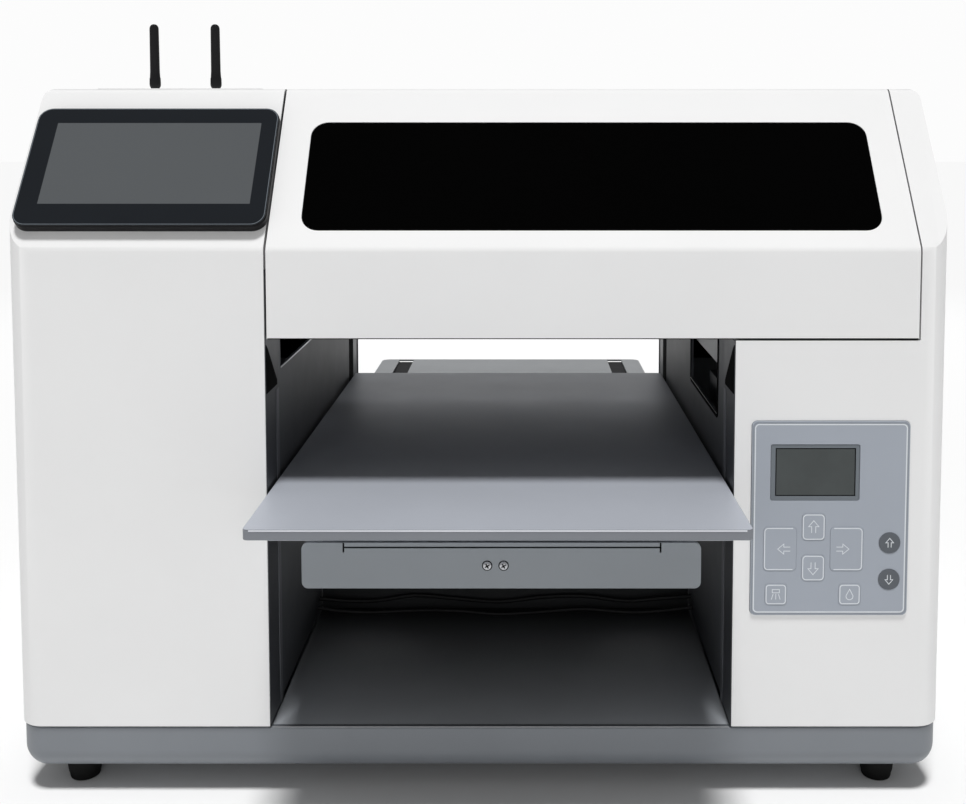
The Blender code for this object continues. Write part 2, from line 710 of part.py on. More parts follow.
def make_bed():
    half = BED_W / 2
    y = (y_at(-BED_LEAD), y_at(BED_LENGTH - BED_LEAD))
    outline = rounded(rectangle(MID_X - half, MID_X + half, *y), [0.003] * 4, 2)
    prism("bed_plate", outline, BED_TOP - BED_T, BED_TOP, "Z", BED_GREY)

    under_bed = BED_TOP - BED_T - GAP
    y = tuple(y_at(d) for d in BRACKET_DEPTH)
    for name, side in (("left", -1), ("right", 1)):
        bracket = box(f"bed_bracket_{name}", beside(side, 0.1390, 0.1460), y, (0.1690, under_bed))
        flange = box("flange", beside(side, 0.112, 0.1455), y, (under_bed - 0.006, under_bed))
        lip = box("lip", beside(side, 0.1310, 0.1400), y, (0.1690, RAIL_Z0 - 0.0007))
        join(bracket, flange, lip)
        if side < 0:
            nut_y = (y_at(0.225), y_at(0.255))
            nut_z = (Y_SCREW_Z - 0.009, Y_SCREW_Z + 0.009)
            join(bracket, box("nut", beside(side, 0.1450, 0.1620), nut_y, nut_z))
            hole_x = MID_X + side * Y_SCREW_OFFSET
            hole = cylinder("hole", (hole_x, Y_SCREW_Z), Y_SCREW_R + 0.0006, y[0], y[1], "Y", 12)
            cut(bracket, hole)
        paint(bracket, STEEL)


def make_bed_base():
    """Channel that carries the bed, on a cross arm whose ends hold the lifting screws' nuts.

    A neck in front holds the front plate, and a shelf at the rear closes the tray's slots from below.
    """
    channel_x = (MID_X - BASE_HALF_W, MID_X + BASE_HALF_W)
    channel_y = tuple(y_at(d) for d in CHANNEL_DEPTH)
    base = box("y_base", channel_x, channel_y, (CHANNEL_Z0, CHANNEL_Z1))
    inner = box(
        "inner",
        widened(channel_x, -SHELL_T),
        widened(channel_y, PAST),
        (CHANNEL_Z0 + SHELL_T, CHANNEL_Z1 + PAST),
    )
    cut(base, inner)
    arm_y = tuple(y_at(d) for d in ARM_DEPTH)
    arm = box("arm", (Z_SCREW_X[0] - 0.015, Z_SCREW_X[1] + 0.015), arm_y, ARM_Z)
    neck_y = (y_at(FRONT_PLATE_DEPTH[1] + GAP), y_at(CHANNEL_DEPTH[0] + 0.002))
    neck = box("neck", channel_x, neck_y, (NECK_Z0, CHANNEL_Z1))
    shelf_y = (y_at(SHELF_START), channel_y[1])
    shelves = [
        box("shelf", beside(side, BASE_HALF_W - 0.001, SLOT_OUT + 0.004), shelf_y, (SHELF_Z0, CHANNEL_Z1))
        for side in (-1, 1)
    ]
    join(base, arm, neck, *shelves)
    cut(base, *[
        cylinder("nut_hole", (x, y_at(Z_SCREW_DEPTH)), Z_SCREW_R + 0.0005, 0.14, 0.18) for x in Z_SCREW_X
    ])
    paint(base, PLATE_GREY)

    plate = rounded(rectangle(*FRONT_PLATE_X, *FRONT_PLATE_Z), [0.0045] * 4, 3)
    plate_y = tuple(y_at(d) for d in FRONT_PLATE_DEPTH)
    prism("y_front_plate", plate, *plate_y, "Y", PLATE_GREY)

    tray_y = (y_at(-0.015), y_at(TRAY_REACH))
    tray_outline = rounded(
        rectangle(MID_X - TRAY_HALF_W, MID_X + TRAY_HALF_W, *tray_y), [0.002, 0.002, 0.010, 0.010], 4
    )
    tray = prism("rear_tray", tray_outline, TRAY_Z0, TRAY_Z1)
    slot_y = (y_at(-0.012), y_at(TRAY_REACH - 0.003))
    cut(tray, *[
        box("slot", beside(side, SLOT_IN, SLOT_OUT), slot_y, (TRAY_Z0 - PAST, TRAY_Z1 + PAST))
        for side in (-1, 1)
    ])
    paint(tray, BED_GREY)

    for name, side in (("left", -1), ("right", 1)):
        rail_x = beside(side, RAIL_IN, RAIL_IN + RAIL_W)
        rail_y = (y_at(CHANNEL_DEPTH[0] + 0.002), y_at(RAIL_END))
        box(f"y_rail_{name}", rail_x, rail_y, (RAIL_Z0, RAIL_Z1), STEEL)


def make_bed_drive():
    x = MID_X - Y_SCREW_OFFSET
    start = y_at(Y_SCREW_START)
    end = y_at(Y_MOTOR_DEPTH[0] - 0.0005)
    screw = cylinder("y_screw", (x, Y_SCREW_Z), Y_SCREW_R, start, end, "Y", 12, STEEL)
    pivot(screw, (x, start, Y_SCREW_Z))
    motor = box(
        "y_motor",
        (x - Y_MOTOR_HALF_W, x + Y_MOTOR_HALF_W),
        tuple(y_at(d) for d in Y_MOTOR_DEPTH),
        (Y_SCREW_Z - Y_MOTOR_HALF_W, Y_SCREW_Z + Y_MOTOR_HALF_W),
        BLACK_PLASTIC,
    )
    soften(motor, 0.002, 1)


def make_lift():
    for name, x in zip(("left", "right"), Z_SCREW_X):
        centre = (x, y_at(Z_SCREW_DEPTH))
        screw = cylinder(f"z_screw_{name}", centre, Z_SCREW_R, Z_MOTOR_Z[1] + GAP, 0.231, finish=STEEL)
        pivot(screw, (*centre, Z_MOTOR_Z[1]))
        half = MOTOR_W / 2
        motor = box(
            f"z_motor_{name}",
            (x - half, x + half),
            (centre[1] - half, centre[1] + half),
            Z_MOTOR_Z,
            BLACK_PLASTIC,
        )
        soften(motor, 0.004, 1)


# ---- gantry ------------------------------------------------------------------------------


def make_gantry():
    beam_y = tuple(y_at(d) for d in BEAM_DEPTH)
    beam = box("x_beam", BEAM_X, beam_y, BEAM_Z)
    rail = box("rail", BEAM_X, (y_at(RAIL_FRONT_DEPTH), beam_y[0] + 0.001), GANTRY_RAIL_Z)
    idler_post = cylinder(
        "post", (IDLER_X, y_at(PULLEY_DEPTH)), SHAFT_R, BEAM_Z[1] - 0.001, PULLEY_Z[1] + 0.003, segments=12
    )
    paint(join(beam, rail, idler_post), ALUMINIUM)

    half = MOTOR_W / 2
    motor = box(
        "x_motor",
        (DRIVE_X - half, DRIVE_X + half),
        (y_at(PULLEY_DEPTH) - half, y_at(PULLEY_DEPTH) + half),
        X_MOTOR_Z,
    )
    shaft_z = (X_MOTOR_Z[1] - 0.0005, PULLEY_Z[1] + 0.003)
    shaft = cylinder("shaft", (DRIVE_X, y_at(PULLEY_DEPTH)), SHAFT_R, *shaft_z, segments=12)
    paint(join(motor, shaft), BLACK_PLASTIC)

    for name, x in (("x_drive_pulley", DRIVE_X), ("x_idler_pulley", IDLER_X)):
        centre = (x, y_at(PULLEY_DEPTH))
        pulley = cylinder(name, centre, PULLEY_R, *PULLEY_Z, segments=20)
        cut(pulley, cylinder("bore", centre, SHAFT_R + GAP, *widened(PULLEY_Z, PAST), segments=12))
        paint(smooth(pulley), ALUMINIUM)
        pivot(pulley, (*centre, PULLEY_Z[0]))

    inner_r = PULLEY_R + GAP
    belt = belt_loop("x_belt", inner_r + BELT_T)
    cut(belt, belt_loop("inside", inner_r, 0.01))
    paint(belt, RUBBER)


def belt_loop(name, radius, extra=0.0):
    centre_y = y_at(PULLEY_DEPTH)
    outline = rounded(
        rectangle(DRIVE_X - radius, IDLER_X + radius, centre_y - radius, centre_y + radius),
        [radius - 1e-5] * 4,
        5,
    )
    return prism(name, outline, PULLEY_Z[0] + 0.001 - extra, PULLEY_Z[1] - 0.001 + extra)


def make_carriage():
    clear = 0.0006
    y = tuple(y_at(d) for d in CARRIAGE_DEPTH)
    body = box("carriage_body", CARRIAGE_X, y, CARRIAGE_Z)
    tab = box("belt_tab", (0.245, 0.275), (y[1] - 0.001, y_at(0.2368)), (0.3985, 0.4080))
    join(body, tab)
    rail_groove = box(
        "groove",
        widened(CARRIAGE_X, PAST),
        (y_at(RAIL_FRONT_DEPTH) - clear, y[1] + 0.001),
        widened(GANTRY_RAIL_Z, clear),
    )
    head_y = tuple(y_at(d) for d in HEAD_DEPTH)
    head_pocket = box("pocket", HEAD_X, head_y, (CARRIAGE_Z[0] - PAST, HEAD_Z[1]))
    paint(cut(body, rail_groove, head_pocket), PLATE_GREY)
    head_gap = 0.0005
    head_z = (HEAD_Z[0], HEAD_Z[1] - head_gap)
    box("print_head", widened(HEAD_X, -head_gap), widened(head_y, -head_gap), head_z, BLACK_PLASTIC)
    box("uv_lamp", (0.3205, 0.3430), (y_at(0.110), y_at(0.210)), (0.3050, 0.3650), ALUMINIUM)


def make_capping_station():
    y = (y_at(0.110), y_at(0.210))
    station = box("capping_station", (0.205, 0.310), y, (0.245, 0.285))
    leg = box("leg", (0.245, 0.270), (y_at(0.125), y_at(0.195)), (0.0255, 0.246))
    join(station, leg)
    for low, high in ((0.222, 0.250), (0.262, 0.290)):
        cap_y = (y_at(0.125), y_at(0.195))
        cap = box("cap", (low, high), cap_y, (0.284, 0.2965))
        well = box(
            "well", (low + 0.003, high - 0.003), (cap_y[0] + 0.003, cap_y[1] - 0.003), (0.289, 0.300)
        )
        join(station, cut(cap, well))
    paint(station, DARK_SHEET)


# ---- contents of the left column -----------------------------------------------------------


def make_ink_tanks():
    x = (-0.335, -0.185)
    y = (y_at(0.012), y_at(0.075))
    cells = 6
    pitch = (x[1] - x[0]) / cells
    tanks = box("ink_tanks", x, y, (0.140, 0.290))
    caps = [
        cylinder("cap", (x[0] + pitch * (i + 0.5), y_at(0.0435)), 0.009, 0.289, 0.304, segments=12)
        for i in range(cells)
    ]
    join(tanks, *caps)
    grooves = [
        box(
            "groove",
            (x[0] + pitch * i - 0.001, x[0] + pitch * i + 0.001),
            (y[0] - 0.01, y[1] - 0.010),
            (0.150, 0.300),
        )
        for i in range(1, cells)
    ]
    paint(cut(tanks, *grooves), TANK_AMBER)


def make_electronics():
    board = box("main_board", (-0.3440, -0.3420), (y_at(0.140), y_at(0.380)), (0.120, 0.320))
    parts = [
        ((0.150, 0.190), (0.150, 0.190), 0.012),
        ((0.215, 0.245), (0.230, 0.290), 0.008),
        ((0.275, 0.345), (0.140, 0.165), 0.010),
        ((0.300, 0.330), (0.215, 0.245), 0.006),
    ]
    for depth, z, height in parts:
        chip_y = (y_at(depth[0]), y_at(depth[1]))
        join(board, box("chip", (-0.3425, -0.3420 + height), chip_y, z))
    paint(board, BOARD_GREEN)
    supply = box(
        "power_supply", (-0.335, -0.235), (y_at(0.080), y_at(0.280)), (0.0255, 0.0735), ALUMINIUM
    )
    soften(supply, 0.0015, 1)


# ---- cables along the cavity's rear edge -----------------------------------------------------

CABLE_R = 0.0020
# Each route: X, depth and Z of points that the cable passes, from the left wall to the right wall.
CABLE_ROUTES = {
    "cavity_cable_upper": [
        (-0.1581, 0.2200, 0.0660), (-0.135, 0.2230, 0.0625), (-0.105, 0.2270, 0.0610),
        (-0.070, 0.2285, 0.0655), (-0.030, 0.2285, 0.0625), (0.010, 0.2270, 0.0600),
        (0.050, 0.2280, 0.0640), (0.090, 0.2270, 0.0655), (0.130, 0.2240, 0.0620),
        (0.160, 0.2220, 0.0650), (0.1907, 0.2200, 0.0680),
    ],
    "cavity_cable_lower": [
        (-0.1581, 0.2120, 0.0600), (-0.140, 0.2125, 0.0570), (-0.110, 0.2150, 0.0545),
        (-0.070, 0.2190, 0.0545), (-0.030, 0.2150, 0.0560), (0.010, 0.2110, 0.0545),
        (0.050, 0.2160, 0.0545), (0.090, 0.2180, 0.0565), (0.130, 0.2140, 0.0550),
        (0.160, 0.2120, 0.0570), (0.1907, 0.2110, 0.0610),
    ],
}


def catmull(points, per_span):
    """Points along one smooth curve through the given points."""
    padded = [points[0] * 2 - points[1], *points, points[-1] * 2 - points[-2]]
    path = []
    for i in range(1, len(padded) - 2):
        a, b, c, d = padded[i - 1 : i + 3]
        for step in range(per_span):
            t = step / per_span
            path.append(
                0.5
                * (
                    2 * b
                    + (c - a) * t
                    + (2 * a - 5 * b + 4 * c - d) * t**2
                    + (3 * b - a - 3 * c + d) * t**3
                )
            )
    path.append(points[-1])
    return path


def make_cables():
    for name, route in CABLE_ROUTES.items():
        path = catmull([Vector((x, y_at(depth), z)) for x, depth, z in route], 4)
        curve = bpy.data.curves.new(name, "CURVE")
        curve.dimensions = "3D"
        curve.bevel_depth = CABLE_R
        curve.bevel_resolution = 2
        curve.use_fill_caps = True
        spline = curve.splines.new("POLY")
        spline.points.add(len(path) - 1)
        for point, place in zip(spline.points, path):
            point.co = (*place, 1.0)
        obj = bpy.data.objects.new(name, curve)
        bpy.context.scene.collection.objects.link(obj)
        paint(obj, BLACK_PLASTIC)


def main():
    clear_scene()
    make_base()
    make_floor_plate()
    make_housings()
    make_inner_walls()
    make_rear()
    make_top_cover()
    make_hood()
    make_touch_panel()
    make_antennas()
    make_control_panel()
    make_bed()
    make_bed_base()
    make_bed_drive()
    make_lift()
    make_gantry()
    make_carriage()
    make_capping_station()
    make_ink_tanks()
    make_electronics()
    make_cables()


main()
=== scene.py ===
"""Desktop flatbed printer: what is seen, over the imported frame. Metres, +Z up, front towards -Y."""
import math

import bmesh
import bpy
from mathutils import Matrix, Vector


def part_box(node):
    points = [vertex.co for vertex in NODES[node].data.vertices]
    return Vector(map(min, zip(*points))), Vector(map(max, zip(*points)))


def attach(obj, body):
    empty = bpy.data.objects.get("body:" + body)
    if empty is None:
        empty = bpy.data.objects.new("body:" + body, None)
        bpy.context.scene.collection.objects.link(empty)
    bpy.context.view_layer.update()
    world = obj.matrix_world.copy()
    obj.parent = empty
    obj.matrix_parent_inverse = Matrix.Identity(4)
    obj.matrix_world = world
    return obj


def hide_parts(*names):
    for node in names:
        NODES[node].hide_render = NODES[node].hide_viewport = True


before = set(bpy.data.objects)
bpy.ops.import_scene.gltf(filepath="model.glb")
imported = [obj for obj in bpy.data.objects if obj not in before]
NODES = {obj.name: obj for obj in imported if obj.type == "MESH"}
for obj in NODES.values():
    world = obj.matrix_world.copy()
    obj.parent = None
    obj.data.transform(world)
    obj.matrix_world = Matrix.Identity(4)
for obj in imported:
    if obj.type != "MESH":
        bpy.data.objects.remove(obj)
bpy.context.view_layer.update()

# ---- dimensions, the same as in the CAD -------------------------------------------------------

BODY_W = 0.700
FRONT_Y = -0.3055
REAR_Y = 0.1845
FOOT_H = 0.017
BASE_TOP = 0.0525
SHELL_Z0 = 0.0540
BREAK_Z = 0.4155
TOP_Z = 0.5364
SLOPE_RUN = 0.088
SLOPE = math.atan2(TOP_Z - BREAK_Z, SLOPE_RUN)
CORNER_R = 0.020
BREAK_R = 0.008
SHELL_T = 0.003
GAP = 0.0003
SEAM = 0.0012
PAST = 0.01  # cutting tools run this far past a face
FAR_Z = 0.6  # above everything
BASE_INSET = 0.001
BASE_WALL = 0.006
BASE_FLOOR_T = 0.008
BASE_EDGE_R = 0.018
OPEN_X0 = -0.1577
OPEN_X1 = 0.1903
FLANGE_DEPTH = 0.045
REAR_STRIP_X = 0.3148
TUNNEL_TOP = 0.300
INNER_WALL_OFF = 0.0008  # the dark inner walls stand this far behind the columns' inner faces
HOOD_X0 = -0.1559
HOOD_X1 = 0.3254
HOOD_Z0 = 0.3489
HOOD_DEPTH = 0.2440
HINGE_DEPTH = 0.2490
HINGE_Z = TOP_Z - 0.0042
COVER_DEPTH = 0.2540
KNUCKLE_R = 0.0040
KNUCKLE_BORE_R = 0.0026
COVER_KNUCKLES = ((-0.150, -0.110), (0.065, 0.105), (0.280, 0.320))
HOOD_RIM = 0.020
PLATE_SCREWS_X = (0.0086, 0.0199)
PLATE_SCREWS_Z = 0.2037
PANEL_X = (0.2030, 0.3202)
PANEL_Z = (0.1406, 0.2877)
PANEL_FACE_Y = FRONT_Y - 0.0012
PANEL_T = 0.0039
KEY_FACE_Y = PANEL_FACE_Y - 0.0003
KEY_T = 0.0015
KEY_TRAVEL = 0.0008
SCREEN_X = (-0.3445, -0.1565)
SCREEN_RUN = (0.0146, 0.1233)
SCREEN_R = 0.011
SCREEN_BACK_T = 0.0074
SCREEN_GLASS_T = 0.0013
WINDOW_X = (-0.132, 0.301)
WINDOW_RUN = (0.0163, 0.1160)
WINDOW_R = 0.013


def y_at(depth):
    """World Y of a depth behind the housing's front plane."""
    return FRONT_Y + depth


def depths(near, far):
    """World Y range between two depths."""
    return y_at(near), y_at(far)


def widened(span, margin):
    """A span made longer by a margin at both ends."""
    return span[0] - margin, span[1] + margin


def slope_point(run):
    """(Y, Z) of a point so far up the slope from its front break."""
    return FRONT_Y + run * math.cos(SLOPE), BREAK_Z + run * math.sin(SLOPE)


# ---- materials --------------------------------------------------------------------------------


class Graph:
    """A node tree that is built in short steps."""

    def __init__(self, tree):
        self.tree = tree

    def node(self, kind, **settings):
        made = self.tree.nodes.new(kind)
        for name, value in settings.items():
            if name in made.inputs:
                made.inputs[name].default_value = value
            else:
                setattr(made, name, value)
        return made

    def link(self, source, target):
        self.tree.links.new(source, target)


def noise(graph, scale, detail=2.0, stretch=(1.0, 1.0, 1.0)):
    """Noise over the object's own metres, as a factor output."""
    place = graph.node("ShaderNodeTexCoord").outputs["Object"]
    mapping = graph.node("ShaderNodeMapping", Scale=stretch)
    graph.link(place, mapping.inputs["Vector"])
    made = graph.node("ShaderNodeTexNoise", Scale=scale, Detail=detail, Roughness=0.55)
    graph.link(mapping.outputs["Vector"], made.inputs["Vector"])
    return made.outputs["Fac"]


def material(
    name, colour, roughness, metallic=0.0, tint=0.04, mottle=9.0, grain=1400.0, grain_depth=0.00002,
    rough_spread=0.05, stretch=(1.0, 1.0, 1.0), specular=0.5, coat=0.0,
):
    """A finish with mottled colour, uneven roughness and a fine surface grain, all procedural."""
    made = bpy.data.materials.new(name)
    made.use_nodes = True
    graph = Graph(made.node_tree)
    shader = made.node_tree.nodes["Principled BSDF"]
    shader.inputs["Metallic"].default_value = metallic
    shader.inputs["Specular IOR Level"].default_value = specular
    shader.inputs["Coat Weight"].default_value = coat
    shader.inputs["Coat Roughness"].default_value = 0.12

    ramp = graph.node("ShaderNodeValToRGB")
    ramp.color_ramp.elements[0].position = 0.35
    ramp.color_ramp.elements[1].position = 0.65
    ramp.color_ramp.elements[0].color = (*[c * (1 - tint) for c in colour], 1.0)
    ramp.color_ramp.elements[1].color = (*[min(1.0, c * (1 + tint)) for c in colour], 1.0)
    graph.link(noise(graph, mottle, 3.0), ramp.inputs["Fac"])
    graph.link(ramp.outputs["Color"], shader.inputs["Base Color"])

    spread = graph.node("ShaderNodeMapRange")
    spread.inputs["To Min"].default_value = max(0.02, roughness - rough_spread)
    spread.inputs["To Max"].default_value = min(1.0, roughness + rough_spread)
    graph.link(noise(graph, mottle * 4.3, 4.0, stretch), spread.inputs["Value"])
    graph.link(spread.outputs["Result"], shader.inputs["Roughness"])

    if grain_depth:
        bump = graph.node("ShaderNodeBump", Strength=0.5, Distance=grain_depth)
        graph.link(noise(graph, grain, 2.0, stretch), bump.inputs["Height"])
        graph.link(bump.outputs["Normal"], shader.inputs["Normal"])
    return made


def paint_shade_along_y(finish, start, end, left_over):
    """Paints shade into a finish: fades its colour from start to end along Y, down to the share left over."""
    graph = Graph(finish.node_tree)
    shader = finish.node_tree.nodes["Principled BSDF"]
    colour = shader.inputs["Base Color"].links[0].from_socket
    split = graph.node("ShaderNodeSeparateXYZ")
    graph.link(graph.node("ShaderNodeTexCoord").outputs["Object"], split.inputs["Vector"])
    share = graph.node("ShaderNodeMapRange")
    share.inputs["From Min"].default_value = start
    share.inputs["From Max"].default_value = end
    share.inputs["To Min"].default_value = 1.0
    share.inputs["To Max"].default_value = left_over
    graph.link(split.outputs["Y"], share.inputs["Value"])
    scaled = graph.node("ShaderNodeVectorMath", operation="SCALE")
    graph.link(colour, scaled.inputs["Vector"])
    graph.link(share.outputs["Result"], scaled.inputs["Scale"])
    graph.link(scaled.outputs["Vector"], shader.inputs["Base Color"])


WHITE = material("white_shell", (0.785, 0.785, 0.785), 0.36, tint=0.008, grain=1600, grain_depth=0.00001)
BASE = material("base_grey", (0.19, 0.205, 0.225), 0.42, tint=0.03, grain=1900, grain_depth=0.00003)
WALL = material("wall_grey", (0.072, 0.078, 0.088), 0.50, tint=0.05, grain=1700, grain_depth=0.00004)
# The cavity floor is painted light: its colour is brighter than the real plate, for the light at its front,
# and fades to painted shade towards the rear.
FLOOR = material("floor_painted_light", (0.58, 0.61, 0.65), 0.50, tint=0.05, grain=1700, grain_depth=0.00004)
paint_shade_along_y(FLOOR, -0.300, -0.085, 0.045)
BED = material("bed_grey", (0.48, 0.505, 0.56), 0.48, 0.25, tint=0.02, grain=2300, grain_depth=0.00003)
PLATE = material("plate_grey", (0.235, 0.255, 0.275), 0.42, 0.25, tint=0.02, grain=2300, grain_depth=0.00002)
# Black for the bed base, darker and duller than a real black finish: painted shade under the bed and behind
# the tray's slots.
BASE_BLACK_AND_SHADE = material("bed_base_black_and_shade", (0.006, 0.006, 0.007), 0.60, tint=0.1, grain=1900, specular=0.08)
TRAY = material("tray_grey", (0.25, 0.26, 0.27), 0.55, 0.2, tint=0.03, grain=2300, grain_depth=0.00003)
FILM = material("panel_film", (0.335, 0.365, 0.415), 0.45, tint=0.015, grain=2600, grain_depth=0.00001)
FILM_LINE = material("film_line", (0.67, 0.70, 0.73), 0.40, tint=0.02, grain=2600, grain_depth=0.00001)
FILM_DARK = material("film_dark", (0.085, 0.095, 0.11), 0.42, tint=0.03, grain=2600, grain_depth=0.00001)
BLACK = material("black_plastic", (0.016, 0.016, 0.018), 0.42, tint=0.10, grain=1500, grain_depth=0.00004)
ANTENNA = material(
    "antenna_black", (0.010, 0.010, 0.011), 0.50, tint=0.10, grain=1300, grain_depth=0.00005, specular=0.25,
)
BEZEL = material(
    "bezel_black", (0.010, 0.012, 0.015), 0.20, tint=0.05, grain=900, grain_depth=0.000004,
    rough_spread=0.02, specular=0.25,
)
DISPLAY = material(
    "display_glass", (0.082, 0.088, 0.093), 0.16, tint=0.02, mottle=5, grain=500, grain_depth=0.000002,
    rough_spread=0.02, specular=0.30,
)
# Opaque near-black pane for the hood window: its tint, with the dark inside of the hood painted in as shade.
WINDOW = material(
    "window_tint_and_shade", (0.0006, 0.0006, 0.0006), 0.09, tint=0.1, grain=300, grain_depth=0.000002,
    rough_spread=0.02, specular=0.03,
)
LCD = material("lcd_glass", (0.052, 0.060, 0.060), 0.14, tint=0.08, mottle=30, grain_depth=0.0, specular=0.3)
RUBBER = material(
    "foot_rubber", (0.006, 0.006, 0.006), 0.80, tint=0.2, grain=1100, grain_depth=0.00008, specular=0.15,
)
STEEL = material(
    "ground_steel", (0.56, 0.56, 0.57), 0.28, 1.0, tint=0.03, grain=700, grain_depth=0.00001,
    stretch=(1.0, 0.05, 1.0),
)
# Bright metal for the front plate's screw heads, also used for thin strips that are painted highlights on
# edges.
HIGHLIGHT_AND_SCREW_METAL = material("highlight_and_screw_metal", (0.55, 0.56, 0.58), 0.30, 0.6, tint=0.03, grain=900, grain_depth=0.00001)
ALUMINIUM = material(
    "drawn_aluminium", (0.62, 0.63, 0.64), 0.34, 1.0, tint=0.03, grain=900, grain_depth=0.00002,
    stretch=(0.04, 1.0, 1.0),
)
LIGHT_COVER = material("carriage_cover", (0.42, 0.43, 0.44), 0.42, tint=0.03, grain=1500)
GREEN = material("board_green", (0.012, 0.085, 0.045), 0.45, tint=0.20, mottle=160, grain_depth=0.00002)
TANK = material("tank_plastic", (0.55, 0.56, 0.53), 0.25, tint=0.03, mottle=20, grain_depth=0.00001, coat=0.3)
# Dark grey over the columns' white flanges: painted shade.
JAMB = material("jamb_painted_shade", (0.040, 0.043, 0.050), 0.45, tint=0.06, grain=1700, grain_depth=0.00003)
# Light grey: painted light on sheet edges at the opening, and the motor caps' own colour.
PAINTED_EDGE_LIGHT_AND_CAP_GREY = material("jamb_fold_highlight", (0.12, 0.125, 0.14), 0.40, tint=0.04, grain=1700, grain_depth=0.00003)
# Dark grey of the display's frame, also used for a ring painted as a highlight on the touch glass's edge.
BEZEL_GREY_AND_GLASS_HIGHLIGHT = material("display_bezel", (0.135, 0.155, 0.175), 0.42, tint=0.03, grain=2600, grain_depth=0.00001)
# Near-black for painted shadows: in gaps, grooves and recesses, behind slots and under edges.
PAINTED_SHADOW = material("seam_shadow", (0.003, 0.003, 0.003), 0.85, tint=0.1, specular=0.05)
# Painted highlight along the bed's front top edge.
BED_HIGHLIGHT = material("bed_front_highlight", (0.66, 0.68, 0.72), 0.40, 0.25, tint=0.02, grain=2300)
FILM_RIM = material("film_rim", (0.24, 0.265, 0.30), 0.45, tint=0.015, grain=2600, grain_depth=0.00001)
# Darker copy of the bed's finish for its sides: painted shade.
BED_SIDE_SHADE = material("bed_edge", (0.20, 0.212, 0.235), 0.42, 0.25, tint=0.02, grain=2300, grain_depth=0.00002)
HOUSING = material("screen_case", (0.007, 0.007, 0.008), 0.45, tint=0.10, grain=1500, specular=0.15)
CABLE = material("cable_jacket", (0.010, 0.010, 0.011), 0.45, tint=0.1, grain=900, grain_depth=0.00003)

# ---- mesh helpers -----------------------------------------------------------------------------


def clean(bm, name):
    """Turns the built mesh's faces outwards and makes it an object."""
    bmesh.ops.recalc_face_normals(bm, faces=bm.faces)
    mesh = bpy.data.meshes.new(name)
    bm.to_mesh(mesh)
    bm.free()
    obj = bpy.data.objects.new(name, mesh)
    bpy.context.scene.collection.objects.link(obj)
    return obj


def rounded(corners, radii, segments=8):
    """An outline with each corner turned into an arc; a radius of 0 keeps the corner."""
    outline = []
    count = len(corners)
    for i, radius in enumerate(radii):
        here = Vector(corners[i])
        if radius == 0:
            outline.append(tuple(here))
            continue
        before = (Vector(corners[i - 1]) - here).normalized()
        after = (Vector(corners[(i + 1) % count]) - here).normalized()
        half = before.angle(after) / 2
        centre = here + (before + after).normalized() * radius / math.sin(half)
        start = here + before * radius / math.tan(half) - centre
        sweep = start.angle_signed(here + after * radius / math.tan(half) - centre)
        for step in range(segments + 1):
            turn = -sweep * step / segments
            point = Vector((
                start.x * math.cos(turn) - start.y * math.sin(turn),
                start.x * math.sin(turn) + start.y * math.cos(turn),
            ))
            outline.append(tuple(centre + point))
    return outline


def rectangle(low_a, high_a, low_b, high_b):
    return [(low_a, low_b), (high_a, low_b), (high_a, high_b), (low_a, high_b)]


def ring(centre, radius, segments=24):
    a, b = centre
    angles = [2 * math.pi * i / segments for i in range(segments)]
    return [(a + radius * math.cos(t), b + radius * math.sin(t)) for t in angles]


def prism(name, outline, low, high, along="Z"):
    """An outline pushed from low to high. Along X it is (Y, Z), along Y (X, Z), along Z (X, Y)."""
    place = {
        "X": lambda a, b, t: (t, a, b),
        "Y": lambda a, b, t: (a, t, b),
        "Z": lambda a, b, t: (a, b, t),
    }[along]
    bm = bmesh.new()
    ends = [[bm.verts.new(place(a, b, t)) for a, b in outline] for t in (low, high)]
    bm.faces.new(ends[0])
    bm.faces.new(ends[1])
    for i in range(len(outline)):
        bm.faces.new((ends[0][i - 1], ends[0][i], ends[1][i], ends[1][i - 1]))
    return clean(bm, name)


def box(name, x, y, z):
    return prism(name, rectangle(*x, *y), *z, "Z")


def band(name, outer, inner, low, high):
    """A flat frame between two (X, Z) outlines with as many points each, from low to high along Y."""
    bm = bmesh.new()
    loops = [
        [bm.verts.new((a, y, b)) for a, b in line]
        for line, y in ((outer, low), (outer, high), (inner, high), (inner, low))
    ]
    for near, far in zip(loops, loops[1:] + loops[:1]):
        for i in range(len(outer)):
            bm.faces.new((near[i - 1], near[i], far[i], far[i - 1]))
    return clean(bm, name)


def combine(body, tools, operation):
    """Applies a Boolean between the body and each tool, and removes the tools."""
    for tool in tools:
        modifier = body.modifiers.new(operation, "BOOLEAN")
        modifier.operation = operation
        modifier.object = tool
        evaluated = body.evaluated_get(bpy.context.evaluated_depsgraph_get())
        result = bpy.data.meshes.new_from_object(evaluated)
        body.modifiers.clear()
        old = body.data
        body.data = result
        bpy.data.meshes.remove(old)
        bpy.data.objects.remove(tool, do_unlink=True)
    return body


def cut(body, *tools):
    return combine(body, tools, "DIFFERENCE")


def join(body, *tools):
    return combine(body, tools, "UNION")


def keep(body, *tools):
    return combine(body, tools, "INTERSECT")


def soften(obj, width=0.0006, segments=2, angle=40):
    """Rounds the sharp edges a little, so that they catch the light."""
    modifier = obj.modifiers.new("edge_round", "BEVEL")
    modifier.width = width
    modifier.segments = segments
    modifier.limit_method = "ANGLE"
    modifier.angle_limit = math.radians(angle)
    modifier.use_clamp_overlap = True
    modifier.harden_normals = False
    return obj


def shade(obj, angle=35):
    obj.data.shade_smooth()
    obj.data.set_sharp_from_angle(angle=math.radians(angle))
    return obj


def dress(obj, finish, body):
    """Gives a new piece its finish and puts it on its body."""
    obj.data.materials.clear()
    obj.data.materials.append(finish)
    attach(obj, body)
    return obj


